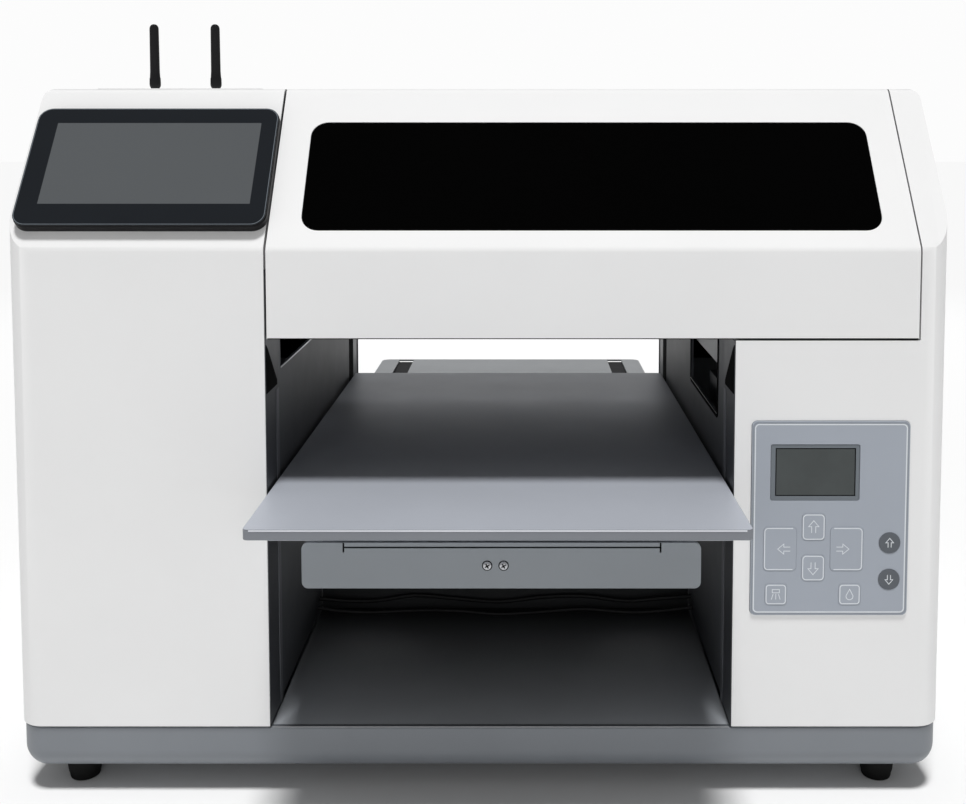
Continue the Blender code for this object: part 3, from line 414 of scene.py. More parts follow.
def slope_plate(name, x, run, radius, low, high, margin=0.0, segments=8):
    """A rounded plate that lies on the slope, from low to high above its surface."""
    half_w = (x[1] - x[0]) / 2 + margin
    half_h = (run[1] - run[0]) / 2 + margin
    outline = rounded(rectangle(-half_w, half_w, -half_h, half_h), [radius + margin] * 4, segments)
    plate = prism(name, outline, low, high)
    place = Matrix.Translation((sum(x) / 2, *slope_point(sum(run) / 2)))
    plate.data.transform(place @ Matrix.Rotation(SLOPE, 4, "X"))
    return plate


def column_profile(inset, z0, rear_inset=0.0):
    """Side view of the housing, moved inwards by inset: front face, slope, flat top."""
    front = FRONT_Y + inset
    start_z = BREAK_Z - inset * math.cos(SLOPE) + (inset - inset * math.sin(SLOPE)) * math.tan(SLOPE)
    top = TOP_Z - inset
    top_y = front + (top - start_z) / math.tan(SLOPE)
    rear = REAR_Y - rear_inset
    return [(front, z0), (front, start_z), (top_y, top), (rear, top), (rear, z0)]


# ---- camera and light -------------------------------------------------------------------------


CAMERA_PLACE = (0.0334, -1.1650, 0.4931)
CAMERA_TILT = math.radians(3.9)  # down from level
LENS_MM = 43.826
SENSOR_MM = 36.0
LENS_SHIFT = (-0.0417, -0.185)

SUN_STRENGTH = 3.0
SUN_ANGLE = math.radians(11)
SUN_TILT = math.radians(14)  # from straight above towards the front
SKY_LIGHT = 0.22
SKY_SEEN = 0.975


def make_camera():
    data = bpy.data.cameras.new("camera")
    data.sensor_width = SENSOR_MM
    data.lens = LENS_MM
    data.shift_x, data.shift_y = LENS_SHIFT
    camera = bpy.data.objects.new("camera", data)
    camera.location = CAMERA_PLACE
    camera.rotation_euler = (math.pi / 2 - CAMERA_TILT, 0, 0)
    bpy.context.scene.collection.objects.link(camera)
    bpy.context.scene.camera = camera


def area_light(name, place, aim, size, power):
    data = bpy.data.lights.new(name, "AREA")
    data.shape = "RECTANGLE"
    data.size, data.size_y = size
    data.energy = power
    lamp = bpy.data.objects.new(name, data)
    lamp.location = place
    lamp.rotation_euler = (Vector(aim) - Vector(place)).to_track_quat("-Z", "Y").to_euler()
    bpy.context.scene.collection.objects.link(lamp)
    return lamp


def make_stage():
    """A pale floor, a sky that looks brighter than it lights, a soft sun and two low fills."""
    ground = prism("ground", rectangle(-30, 30, -30, 30), -0.02, 0.0)
    pale = material("pale_floor", (0.82, 0.82, 0.82), 0.9, tint=0.0, grain_depth=0.0, specular=0.0)
    ground.data.materials.append(pale)
    world = bpy.data.worlds.new("studio")
    bpy.context.scene.world = world
    world.use_nodes = True
    graph = Graph(world.node_tree)
    sky = world.node_tree.nodes["Background"]
    sky.inputs["Color"].default_value = (1.0, 1.0, 1.0, 1.0)
    strength = graph.node("ShaderNodeMapRange")
    strength.inputs["To Min"].default_value = SKY_LIGHT
    strength.inputs["To Max"].default_value = SKY_SEEN
    graph.link(graph.node("ShaderNodeLightPath").outputs["Is Camera Ray"], strength.inputs["Value"])
    graph.link(strength.outputs["Result"], sky.inputs["Strength"])
    key = bpy.data.objects.new("key", bpy.data.lights.new("key", "SUN"))
    key.data.energy = SUN_STRENGTH
    key.data.angle = SUN_ANGLE
    key.rotation_euler = (SUN_TILT, 0, 0)
    key.visible_glossy = False
    bpy.context.scene.collection.objects.link(key)
    area_light("rear_fill", place=(0.0, 2.6, 0.95), aim=(0.0, 0.1, 0.25), size=(1.6, 0.5), power=4)
    front = area_light(
        "front_fill", place=(0.0, -2.6, 0.8), aim=(0.0, 0.0, 0.15), size=(1.2, 0.6), power=6.5
    )
    front.visible_glossy = False
    bpy.context.scene.view_settings.view_transform = "Standard"


# ---- shells -----------------------------------------------------------------------------------


def make_base():
    half = BODY_W / 2 - BASE_INSET
    front, rear = FRONT_Y + BASE_INSET, REAR_Y - BASE_INSET
    pan = box("pan", (-half, half), (front, rear), (FOOT_H, BASE_TOP))
    bm = bmesh.new()
    bm.from_mesh(pan.data)
    upright = [e for e in bm.edges if abs(e.verts[0].co.z - e.verts[1].co.z) > PAST]
    bmesh.ops.bevel(bm, geom=upright, offset=CORNER_R, segments=14, profile=0.5, affect="EDGES")
    lower = [e for e in bm.edges if max(v.co.z for v in e.verts) < FOOT_H + 1e-5]
    bmesh.ops.bevel(bm, geom=lower, offset=BASE_EDGE_R, segments=10, profile=0.5, affect="EDGES")
    bm.to_mesh(pan.data)
    bm.free()
    inner = rectangle(-half + BASE_WALL, half - BASE_WALL, front + BASE_WALL, rear - BASE_WALL)
    outline = rounded(inner, [CORNER_R - BASE_WALL] * 4)
    cut(pan, prism("hollow", outline, FOOT_H + BASE_FLOOR_T, BASE_TOP + PAST))
    soften(shade(pan), 0.0008, 3)
    dress(pan, BASE, "chassis")
    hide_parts("base_pan")


def make_housing(name, outer_x, inner_x):
    """A white column shell, open towards the opening, at the rear and below."""
    side = 1 if outer_x > inner_x else -1
    low, high = sorted((outer_x, inner_x))
    outer_corners = [0, CORNER_R, CORNER_R, 0] if side > 0 else [CORNER_R, 0, 0, CORNER_R]
    profile = rounded(column_profile(0, SHELL_Z0), [0, BREAK_R, BREAK_R, 0, 0], 8)
    shell = prism(name, profile, low, high, "X")
    plan = prism("plan", rounded(rectangle(low, high, FRONT_Y, REAR_Y), outer_corners, 14), 0, FAR_Z)
    top_corners = [0, 0, BREAK_R, 0] if side > 0 else [0, 0, 0, BREAK_R]
    face = prism("face", rounded(rectangle(low, high, 0, TOP_Z), top_corners, 8), FRONT_Y, REAR_Y, "Y")
    keep(shell, plan, face)

    far = outer_x - side * SHELL_T
    near = inner_x + side * SHELL_T
    inner = column_profile(SHELL_T, SHELL_Z0 - PAST, SHELL_T)
    hollow = prism("hollow", inner, min(far, near), max(far, near), "X")
    inner_corners = [r - SHELL_T if r else 0 for r in outer_corners]
    inner_plan = rectangle(min(far, near), max(far, near), FRONT_Y + SHELL_T, REAR_Y - SHELL_T)
    keep(hollow, prism("inner_plan", rounded(inner_plan, inner_corners, 6), 0, FAR_Z))

    flange_y = y_at(FLANGE_DEPTH)
    side_view = [p for p in inner if p[0] > flange_y]
    slope_z = inner[1][1] + (flange_y - inner[1][0]) * math.tan(SLOPE)
    side_view = [(flange_y, inner[0][1]), (flange_y, slope_z), *side_view]
    side_window = prism("side_window", side_view, inner_x - PAST, inner_x + PAST, "X")
    rear_x = sorted((side * REAR_STRIP_X, inner_x - side * PAST))
    rear_window = box(
        "rear_window", rear_x, (REAR_Y - PAST, REAR_Y + PAST), (SHELL_Z0 - PAST, TOP_Z - SHELL_T)
    )
    cut(shell, hollow, side_window, rear_window)
    return shell


def side_vents(side):
    """Ventilation slots low down at the rear of a housing's side."""
    width, height = 0.004, 0.032
    x = sorted((side * (BODY_W / 2 - PAST), side * (BODY_W / 2 + PAST)))
    for row in range(2):
        for i in range(14):
            depth = 0.290 + i * 0.0105
            z = 0.092 + row * 0.040
            outline = rectangle(*depths(depth, depth + width), z, z + height)
            yield prism("vent", rounded(outline, [0.00195] * 4, 4), *x, "X")


def make_housings():
    left = make_housing("left_column", -BODY_W / 2, OPEN_X0)
    cut(left, *side_vents(-1))
    right = make_housing("right_column", BODY_W / 2, OPEN_X1)
    notch_x = (OPEN_X1 - PAST, HOOD_X1 + SEAM)
    notch_rear = REAR_Y - SHELL_T - 0.0005  # the strip behind it stays, as high as the cover
    hood_notch = box("hood_notch", notch_x, (FRONT_Y - PAST, notch_rear), (HOOD_Z0 - SEAM, FAR_Z))
    cover_notch = box(
        "cover_notch", notch_x, (FRONT_Y - PAST, REAR_Y + PAST), (TOP_Z - SHELL_T - GAP, FAR_Z)
    )
    hole = rounded(rectangle(*widened(PANEL_X, GAP), *widened(PANEL_Z, GAP)), [0.0043] * 4)
    panel_hole = prism("panel_hole", hole, FRONT_Y - PAST, FRONT_Y + PAST, "Y")
    cut(right, hood_notch, cover_notch, panel_hole, *side_vents(1))
    for shell, node in ((left, "left_housing"), (right, "right_housing")):
        soften(shade(shell), 0.0007, 3)
        dress(shell, WHITE, "chassis")
        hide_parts(node)


def hood_strip(thickness):
    """Side view of the hood as a bent strip of that thickness."""
    outer = column_profile(0, HOOD_Z0)[:3] + [(y_at(HOOD_DEPTH), TOP_Z)]
    inner = column_profile(thickness, HOOD_Z0)[:3] + [(y_at(HOOD_DEPTH), TOP_Z - thickness)]
    return rounded(outer + inner[::-1], [0, BREAK_R, BREAK_R] + [0] * 5, 8)


def knuckles(spans, leaf_y):
    """Barrels round the hinge rod, each with the leaf that joins it to a sheet's edge."""
    hinge_y = y_at(HINGE_DEPTH)
    for span in spans:
        yield prism("barrel", ring((hinge_y, HINGE_Z), KNUCKLE_R), *span, "X")
        yield box("leaf", span, leaf_y, (TOP_Z - SHELL_T, TOP_Z - 0.0008))


def hinge_bore():
    across = widened((HOOD_X0, HOOD_X1), PAST)
    return prism("bore", ring((y_at(HINGE_DEPTH), HINGE_Z), KNUCKLE_BORE_R), *across, "X")


def make_hood():
    """The hood with its rims and hinge barrels, a painted shadow strip along its lower lip, and the dark pane
    in its slope.
    """
    hinge_y = y_at(HINGE_DEPTH)
    clear = 0.0005
    pairs = zip(COVER_KNUCKLES, COVER_KNUCKLES[1:])
    hood_spans = [(near[1] + clear, far[0] - clear) for near, far in pairs]
    hood = prism("hood", hood_strip(SHELL_T), HOOD_X0, HOOD_X1, "X")
    rim = hood_strip(HOOD_RIM)
    webs = [
        prism("web", rim, HOOD_X0, HOOD_X0 + SHELL_T, "X"),
        prism("web", rim, HOOD_X1 - SHELL_T, HOOD_X1, "X"),
    ]
    lip = box(
        "lip", (HOOD_X0, HOOD_X1), (FRONT_Y + 0.001, FRONT_Y + 0.012), (HOOD_Z0, HOOD_Z0 + SHELL_T)
    )
    join(hood, *webs, lip, *knuckles(hood_spans, (y_at(HOOD_DEPTH) - 0.004, hinge_y - 0.003)))
    opening = slope_plate("opening", WINDOW_X, WINDOW_RUN, WINDOW_R, -PAST, PAST, GAP)
    cut(hood, hinge_bore(), opening)
    soften(shade(hood), 0.0006, 3)
    dress(hood, WHITE, "hood")
    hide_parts("hood_shell")
    # A dark strip along the hood's lower lip: painted shadow.
    shadow_y = (FRONT_Y - 0.0001, FRONT_Y + 0.0040)
    shadow_z = (HOOD_Z0 - 0.0001, HOOD_Z0 + 0.0006)
    trim("hood_lip_shadow", widened((HOOD_X0, HOOD_X1), -0.0005), shadow_y, shadow_z, PAINTED_SHADOW, "hood")

    pane = slope_plate("hood_pane", WINDOW_X, WINDOW_RUN, WINDOW_R, -0.0028, -0.0001, 0, 10)
    soften(shade(pane), 0.0003, 2)
    dress(pane, WINDOW, "hood")
    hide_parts("hood_window")


def make_top_cover():
    leaf_y = (y_at(HINGE_DEPTH) + 0.003, y_at(COVER_DEPTH) + 0.004)
    cover = box("cover", (HOOD_X0, HOOD_X1), (y_at(COVER_DEPTH), REAR_Y), (TOP_Z - SHELL_T, TOP_Z))
    join(cover, *knuckles(COVER_KNUCKLES, leaf_y))
    cut(cover, hinge_bore())
    soften(shade(cover), 0.0006, 3)
    dress(cover, WHITE, "chassis")
    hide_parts("top_cover")


# ---- touch panel ------------------------------------------------------------------------------


def make_touch_panel():
    back_top = GAP + SCREEN_BACK_T
    back = slope_plate("screen_back", SCREEN_X, SCREEN_RUN, SCREEN_R, GAP, back_top)
    soften(shade(back), 0.0012, 3)
    dress(back, HOUSING, "chassis")
    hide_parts("touch_panel_housing")

    low = back_top + GAP
    glass = slope_plate("screen_glass", SCREEN_X, SCREEN_RUN, SCREEN_R, low, low + SCREEN_GLASS_T, -0.0004)
    soften(shade(glass), 0.0005, 3)
    dress(glass, BEZEL, "chassis")
    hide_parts("touch_glass")

    top = low + SCREEN_GLASS_T
    proud = top + 0.00005
    # A grey ring on the glass's edge: painted highlight.
    edge = slope_plate("screen_edge_highlight", SCREEN_X, SCREEN_RUN, SCREEN_R, top - 0.0002, proud, -0.0010)
    inner = (SCREEN_X, SCREEN_RUN, SCREEN_R, top - PAST, top + PAST, -0.0015)
    cut(edge, slope_plate("screen_inner", *inner))
    dress(shade(edge), BEZEL_GREY_AND_GLASS_HIGHLIGHT, "chassis")
    lit_x, lit_run = (-0.3275, -0.1697), (0.0337, 0.1084)
    screen = slope_plate("screen_area", lit_x, lit_run, 0.0004, top - 0.0004, proud)
    dress(shade(screen), DISPLAY, "chassis")


# ---- opening: jambs, trims, bed and base --------------------------------------------------------


def trim(name, x, y, z, finish, body="chassis", bevel=0.0001):
    """A small strip or plate with softened edges."""
    piece = box(name, x, y, z)
    soften(shade(piece), bevel, 1)
    return dress(piece, finish, body)


def make_jambs():
    """Dark sheet returns that line the columns' front flanges, their darkness painted shade, with a folded
    light edge that is a painted highlight.
    """
    foot_z = SHELL_Z0 + 0.0004
    top = {-1: 0.400, 1: HOOD_Z0 - SEAM - 0.0005}
    wall_z = (0.0740, 0.4900)
    for side, name, face in ((-1, "left", OPEN_X0), (1, "right", OPEN_X1)):
        x = sorted((face - side * 0.00005, face - side * 0.0006))
        trim(f"jamb_{name}", x, depths(0.0010, 0.0448), (foot_z, top[side]), JAMB)
        # A light strip at the rear of each flange: painted highlight.
        fold_x = sorted((face - side * 0.0006, face - side * 0.0011))
        trim(f"jamb_fold_highlight_{name}", fold_x, depths(0.0350, 0.0440), (foot_z, 0.3040), PAINTED_EDGE_LIGHT_AND_CAP_GREY)
        # A near-black wedge on each flange: painted shadow of an opening.
        side_view = [
            (0.0016, 0.3075), (0.0385, 0.3075), (0.0385, 0.3110), (0.0075, 0.3400), (0.0016, 0.3440),
        ]
        outline = [(y_at(depth), z) for depth, z in side_view]
        latch = prism(f"latch_shadow_{name}", outline, *fold_x, "X")
        dress(latch, PAINTED_SHADOW, "chassis")

        wall = face + side * INNER_WALL_OFF
        proud = sorted((wall, wall - side * 0.0004))
        # Near each wall's rear: a near-black strip, the painted shadow of a groove, and a grey strip standing
        # for the shell's rear edge as lit there: painted light.
        trim(f"wall_groove_shadow_{name}", proud, depths(0.4240, 0.4500), wall_z, PAINTED_SHADOW)
        trim(f"wall_edge_painted_light_{name}", proud, depths(0.4520, 0.4770), wall_z, PAINTED_EDGE_LIGHT_AND_CAP_GREY)

    # Bright strips painted as highlights: on the lower edge of the left wall's cut-out and on the base's top
    # front edge.
    gap_x = (OPEN_X0 - INNER_WALL_OFF, OPEN_X0 - 0.0002)
    trim("gantry_gap_highlight", gap_x, depths(0.0600, 0.2750), (0.3160, 0.3172), HIGHLIGHT_AND_SCREW_METAL)
    sill_x = (OPEN_X0 + 0.0015, OPEN_X1 - 0.0015)
    sill_z = (BASE_TOP + 0.0001, BASE_TOP + 0.0006)
    trim("sill_highlight", sill_x, depths(0.0013, 0.0021), sill_z, HIGHLIGHT_AND_SCREW_METAL)
    make_window_trim()


def make_window_trim():
    """Dark frame painted as the shadow round the right wall's cut-out for the carriage, and a bright sill
    painted as the highlight on its lower edge.
    """
    x = (OPEN_X1 + 0.0002, OPEN_X1 + INNER_WALL_OFF)
    y = depths(0.084, 0.232)
    z = (0.2743, 0.4600)
    width = 0.0042
    outer = rounded(rectangle(*widened(y, width), *widened(z, width)), [0.006] * 4)
    frame_piece = prism("window_shadow_frame", outer, *x, "X")
    inner = rounded(rectangle(*y, *z), [0.003] * 4)
    cut(frame_piece, prism("inner", inner, *widened(x, PAST), "X"))
    soften(shade(frame_piece), 0.0002, 2)
    dress(frame_piece, PAINTED_SHADOW, "chassis")
    sill_x = (OPEN_X1 + 0.0001, OPEN_X1 + INNER_WALL_OFF)
    trim("window_sill_highlight", sill_x, y, (z[0] - 0.0008, z[0] - 0.0001), HIGHLIGHT_AND_SCREW_METAL)


def screw_head(name, place, radius, height, facing, finish, body):
    """A pan head with a cross recess; facing is the direction its top looks, along an axis."""
    head = spun(name, [
        (0, height), (radius * 0.55, height * 0.97), (radius * 0.85, height * 0.75), (radius, height * 0.35),
        (radius, 0), (0, 0),
    ], 24)
    deep = (height * 0.45, height * 2)
    long, wide = radius * 0.66, radius * 0.17
    cross = box("cross", (-long, long), (-wide, wide), deep)
    join(cross, box("cross", (-wide, wide), (-long, long), deep))
    cut(head, cross)
    turn = Vector((0, 0, 1)).rotation_difference(Vector(facing)).to_matrix().to_4x4()
    head.data.transform(Matrix.Translation(place) @ turn @ Matrix.Rotation(0.5, 4, "Z"))
    return dress(shade(head), finish, body)


def spun(name, profile, segments):
    """A profile of (radius, height) points spun round +Z; points at radius 0 close it."""
    bm = bmesh.new()
    rings = []
    for radius, height in profile:
        if radius < 1e-6:
            rings.append([bm.verts.new((0, 0, height))])
            continue
        rings.append([bm.verts.new((*point, height)) for point in ring((0, 0), radius, segments)])
    for low, high in zip(rings, rings[1:]):
        for i in range(segments):
            below = [low[i % len(low)], low[(i + 1) % len(low)]]
            corners = [*below, high[(i + 1) % len(high)], high[i % len(high)]]
            bm.faces.new(list(dict.fromkeys(corners)))
    return clean(bm, name)


def make_front_plate():
    """The bed base's front plate: a groove with its floor and ends painted as shadow, and two screws with
    painted shadow round and in their heads.
    """
    low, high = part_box("y_front_plate")
    face = low.y
    outline = rounded(rectangle(low.x, high.x, low.z, high.z), [0.0045] * 4)
    plate = prism("front_plate", outline, low.y, high.y, "Y")
    x = (-0.0900, 0.1276)
    groove_y = (face - PAST, face + 0.0012)
    groove = box("groove", x, groove_y, (0.2158, 0.2170))
    end_z = (0.2128, high.z + PAST)
    ends = [box("groove_end", widened((end, end), 0.0006), groove_y, end_z) for end in x]
    cut(plate, join(groove, *ends))
    soften(shade(plate), 0.0004, 2)
    dress(plate, PLATE, "lift_platform")
    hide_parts("y_front_plate")
    floor_y = (face + 0.0008, face + 0.0013)
    platform = "lift_platform"
    # Near-black pieces at the groove's floor and ends: painted shadow.
    trim("groove_floor_shadow", widened(x, 0.0004), floor_y, (0.2159, 0.2169), PAINTED_SHADOW, platform)
    for side, end in zip(("left", "right"), x):
        end_x = widened((end, end), 0.0005)
        trim(f"groove_end_{side}", end_x, floor_y, (0.2130, high.z - 0.0004), PAINTED_SHADOW, platform)
    for side, sx in zip(("left", "right"), PLATE_SCREWS_X):
        middle = (sx, PLATE_SCREWS_Z)
        # Near-black discs round each screw head and in its cross: painted shadow.
        ring_shadow = prism(f"screw_ring_shadow_{side}", ring(middle, 0.0036), face - 0.00005, face + 0.0004, "Y")
        dress(shade(ring_shadow), PAINTED_SHADOW, platform)
        place = (sx, face, PLATE_SCREWS_Z)
        screw_head(f"plate_screw_{side}", place, 0.0029, 0.0015, (0, -1, 0), HIGHLIGHT_AND_SCREW_METAL, platform)
        cross = prism(f"screw_cross_shadow_{side}", ring(middle, 0.0017), face - 0.00068, face - 0.0006, "Y")
        dress(shade(cross), PAINTED_SHADOW, platform)


def make_bed():
    low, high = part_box("bed_plate")
    outline = rounded(rectangle(low.x, high.x, low.y + 0.0003, high.y), [0.004] * 4)
    plate = prism("bed_table", outline, low.z, high.z)
    soften(shade(plate), 0.0005, 3)
    dress(plate, BED, "print_bed")
    # Faces that do not look up or down take the darker copy: painted shade on the bed's sides.
    plate.data.materials.append(BED_SIDE_SHADE)
    for face in plate.data.polygons:
        face.material_index = 0 if abs(face.normal.z) > 0.5 else 1
    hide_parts("bed_plate")
    # A light strip along the bed's front top edge: painted highlight.
    line_x = (low.x + 0.0045, high.x - 0.0045)
    line_z = (high.z - 0.0014, high.z - 0.0003)
    trim("bed_front_highlight", line_x, (low.y, low.y + 0.0006), line_z, BED_HIGHLIGHT, "print_bed")


# ---- carriage and drives --------------------------------------------------------------------------


def make_carriage():
    """The carriage's lid with six ink connectors, a cable socket and screws, and its front cover."""
    low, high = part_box("carriage_body")
    body = "print_carriage"
    x = (low.x + 0.0040, high.x - 0.0040)
    y = (low.y + 0.0040, high.y - 0.0320)
    top = high.z + 0.0035
    lid = prism("carriage_lid", rounded(rectangle(*x, *y), [0.005] * 4), high.z, top)
    soften(shade(lid), 0.0010, 3)
    dress(lid, WALL, body)
    nipple = [
        (0, 0), (0.0062, 0), (0.0062, 0.0024), (0.0058, 0.0030), (0.0046, 0.0034), (0.0044, 0.0072),
        (0.0040, 0.0078), (0.0024, 0.0080), (0.0022, 0.0112), (0.0026, 0.0116), (0.0024, 0.0126), (0, 0.0128),
    ]
    for i in range(6):
        port = spun(f"ink_port_{i}", nipple, 24)
        port.data.transform(Matrix.Translation((x[0] + 0.0135 + i * 0.0180, y[0] + 0.0480, top)))
        dress(shade(port), BLACK if i % 2 else TANK, body)

    socket_x, socket_y = widened(x, -0.034), (y[1] - 0.016, y[1] - 0.006)
    outline = rounded(rectangle(*socket_x, *socket_y), [0.001] * 4)
    socket = prism("cable_socket", outline, top, top + 0.0055)
    wall = 0.002
    mouth_z = (top + wall / 2, top + PAST)
    cut(socket, box("mouth", widened(socket_x, -wall), widened(socket_y, -wall), mouth_z))
    soften(shade(socket), 0.0004, 2)
    dress(socket, BLACK, body)

    screw_x, screw_y = widened(x, -0.006), widened(y, -0.006)
    for i in range(4):
        place = (screw_x[i % 2], screw_y[i // 2], top)
        screw_head(f"lid_screw_{i}", place, 0.0028, 0.0010, (0, 0, 1), STEEL, body)

    outline = rounded(rectangle(low.x + 0.005, high.x - 0.005, 0.3220, 0.4120), [0.005] * 4)
    cover = prism("carriage_front", outline, low.y - 0.0014, low.y, "Y")
    groove_x = (low.x + 0.020, high.x - 0.020)
    for z in (0.3800, 0.3870, 0.3940):
        outline = rounded(rectangle(*groove_x, z, z + 0.0028), [0.0013] * 4, 4)
        cut(cover, prism("groove", outline, low.y - PAST, low.y - 0.0005, "Y"))
    soften(shade(cover), 0.0004, 2)
    dress(cover, LIGHT_COVER, body)


def make_motor_caps():
    """Cast end caps on the bed drive's motor."""
    low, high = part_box("y_motor")
    margin = 0.00012
    sides = rectangle(low.x - margin, high.x + margin, low.z - margin, high.z + margin)
    outline = rounded(sides, [0.0024] * 4)
    for name, y in (("front", (low.y, low.y + 0.008)), ("rear", (high.y - 0.010, high.y))):
        cap = prism(f"bed_motor_cap_{name}", outline, *widened(y, margin), "Y")
        soften(shade(cap), 0.0003, 2)
        dress(cap, PAINTED_EDGE_LIGHT_AND_CAP_GREY, "lift_platform")
    middle = (low + high) / 2
    reach = 0.0080
    for i, (sx, sz) in enumerate(((1, 1), (1, -1), (-1, 1), (-1, -1))):
        place = (middle.x + sx * reach, high.y + 0.0001, middle.z + sz * reach)
        screw_head(f"bed_motor_screw_{i}", place, 0.0016, 0.0008, (0, 1, 0), STEEL, "lift_platform")


# ---- key panel ----------------------------------------------------------------------------------

KEYS = [  # name, middle (X, Z), width, height, corner radius
    ("key_up", 0.2496, 0.2079, 0.0170, 0.0200, 0.003),
    ("key_down", 0.2496, 0.1767, 0.0170, 0.0195, 0.003),
    ("key_left", 0.2247, 0.1912, 0.0244, 0.0329, 0.003),
    ("key_right", 0.2744, 0.1912, 0.0242, 0.0329, 0.003),
    ("key_nozzle", 0.2221, 0.1565, 0.0160, 0.0157, 0.0025),
    ("key_ink", 0.2772, 0.1565, 0.0160, 0.0157, 0.0025),
    ("key_round_upper", 0.3064, 0.1958, 0.0160, 0.0160, 0.0080),
    ("key_round_lower", 0.3064, 0.1680, 0.0160, 0.0160, 0.0080),
]
LCD_X = (0.2170, 0.2833)
LCD_Z = (0.2278, 0.2703)
INK_T = 0.00006  # printed lines stand this far off the film


def key_outline(middle_x, middle_z, width, height, radius, margin=0.0):
    half_w = width / 2 + margin
    half_h = height / 2 + margin
    sides = rectangle(middle_x - half_w, middle_x + half_w, middle_z - half_h, middle_z + half_h)
    return rounded(sides, [min(radius + margin, half_h - 1e-5)] * 4, 8)


def printed(name, strokes, width, face_y, finish, body):
    """Printed lines: a stroke is a list of (X, Z) points, closed if its last point is its first."""
    bm = bmesh.new()
    half = width / 2
    for stroke in strokes:
        points = [Vector(p) for p in stroke]
        closed = (points[0] - points[-1]).length < 1e-6
        if closed:
            points = points[:-1]
        count = len(points)
        sides = []
        for i, here in enumerate(points):
            before = points[i - 1] if closed or i else here
            after = points[(i + 1) % count] if closed or i < count - 1 else here
            a = (here - before).normalized() if (here - before).length else (after - here).normalized()
            b = (after - here).normalized() if (after - here).length else a
            normal = (a + b).normalized()
            reach = half / max(0.5, normal.dot(a))
            offset = Vector((-normal.y, normal.x)) * reach
            sides.append((here + offset, here - offset))
        rings = []
        for left, right in sides:
            low, high = face_y, face_y - INK_T
            section = ((left, low), (right, low), (right, high), (left, high))
            rings.append([bm.verts.new((p.x, y, p.y)) for p, y in section])
        last = count if closed else count - 1
        for i in range(last):
            near, far = rings[i], rings[(i + 1) % count]
            for j in range(4):
                bm.faces.new((near[j], near[(j + 1) % 4], far[(j + 1) % 4], far[j]))
        if not closed:
            bm.faces.new(rings[0])
            bm.faces.new(rings[-1])
    return dress(clean(bm, name), finish, body)


def arrow(middle_x, middle_z, direction, size):
    """A hollow arrow as one open stroke: direction is (X, Z) of its tip."""
    along = Vector(direction)
    across = Vector((-along.y, along.x))
    tail, neck, half_shaft, half_head = -0.95, 0.05, 0.32, 0.80
    upper = [(tail, half_shaft), (neck, half_shaft), (neck, half_head)]
    shape = [*upper, (1.0, 0.0), *[(a, -b) for a, b in reversed(upper)]]
    middle = Vector((middle_x, middle_z))
    return [[middle + along * a * size + across * b * size for a, b in shape]]


def drop(middle_x, middle_z, size):
    """A liquid drop's outline."""
    points = [(0.0, 1.25)]
    for i in range(15):
        turn = math.radians(38 - 256 * i / 14)
        points.append((0.72 * math.cos(turn), 0.72 * math.sin(turn) - 0.25))
    points.append((0.0, 1.25))
    return [[(middle_x + a * size, middle_z + b * size) for a, b in points]]


def nozzle(middle_x, middle_z, size):
    """A print head's outline with three jets below it."""
    block = [(-0.7, 0.35), (0.7, 0.35), (0.7, 1.0), (-0.7, 1.0), (-0.7, 0.35)]
    jets = [[(a * 0.7, 0.1), (a * 1.15, -1.0)] for a in (-0.75, 0, 0.75)]
    return [[(middle_x + a * size, middle_z + b * size) for a, b in line] for line in (block, *jets)]


def make_key_panel():
    outline = rounded(rectangle(*PANEL_X, *PANEL_Z), [0.004] * 4)
    panel = prism("key_panel", outline, PANEL_FACE_Y, PANEL_FACE_Y + PANEL_T, "Y")
    tool_y = PANEL_FACE_Y - PAST
    pocket_y = KEY_FACE_Y + KEY_T + KEY_TRAVEL + GAP
    pockets = [prism("pocket", key_outline(*shape, GAP), tool_y, pocket_y, "Y") for _, *shape in KEYS]
    outline = rounded(rectangle(*LCD_X, *LCD_Z), [0.0015] * 4)
    lcd = prism("pocket", outline, tool_y, PANEL_FACE_Y + 0.0018, "Y")
    cut(panel, lcd, *pockets)
    soften(shade(panel), 0.0002, 2, 60)
    dress(panel, FILM, "chassis")
    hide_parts("control_panel")

    borders = (
        ("panel_border", 0.0024, 0.0030, 0.0009, FILM_LINE),
        ("panel_rim", 0.0012, 0.0034, 0.0013, FILM_RIM),
    )
    for name, inset, radius, width, finish in borders:
        outline = rounded(rectangle(*widened(PANEL_X, -inset), *widened(PANEL_Z, -inset)), [radius] * 4)
        strokes = [[*outline, outline[0]]]
        printed(name, strokes, width, PANEL_FACE_Y, finish, "chassis")
    make_display()
    make_keys()


def make_display():
    """The display's frame, its glass and the dark line round the glass, a painted shadow in the gap between
    them.
    """
    face = PANEL_FACE_Y + 0.0004
    outline = rounded(rectangle(*widened(LCD_X, -GAP), *widened(LCD_Z, -GAP)), [0.0012] * 4)
    bezel = prism("display_bezel", outline, face, face + 0.0011, "Y")
    view_x = (0.2206, 0.2803)
    view_z = (0.2312, 0.2675)
    view_y = face + 0.0005
    cut(bezel, box("view", view_x, (face - PAST, view_y), view_z))
    dress(shade(bezel), BEZEL_GREY_AND_GLASS_HIGHLIGHT, "chassis")
    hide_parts("lcd_window")
    inset = 0.0008
    glass_y = (face + 0.0002, view_y)
    glass = box("display_view", widened(view_x, -inset), glass_y, widened(view_z, -inset))
    dress(glass, LCD, "chassis")
    # A near-black ring in the gap round the glass: painted shadow.
    lip = box("display_gap_shadow", view_x, (face + 0.0003, face + 0.00049), view_z)
    dress(lip, PAINTED_SHADOW, "chassis")


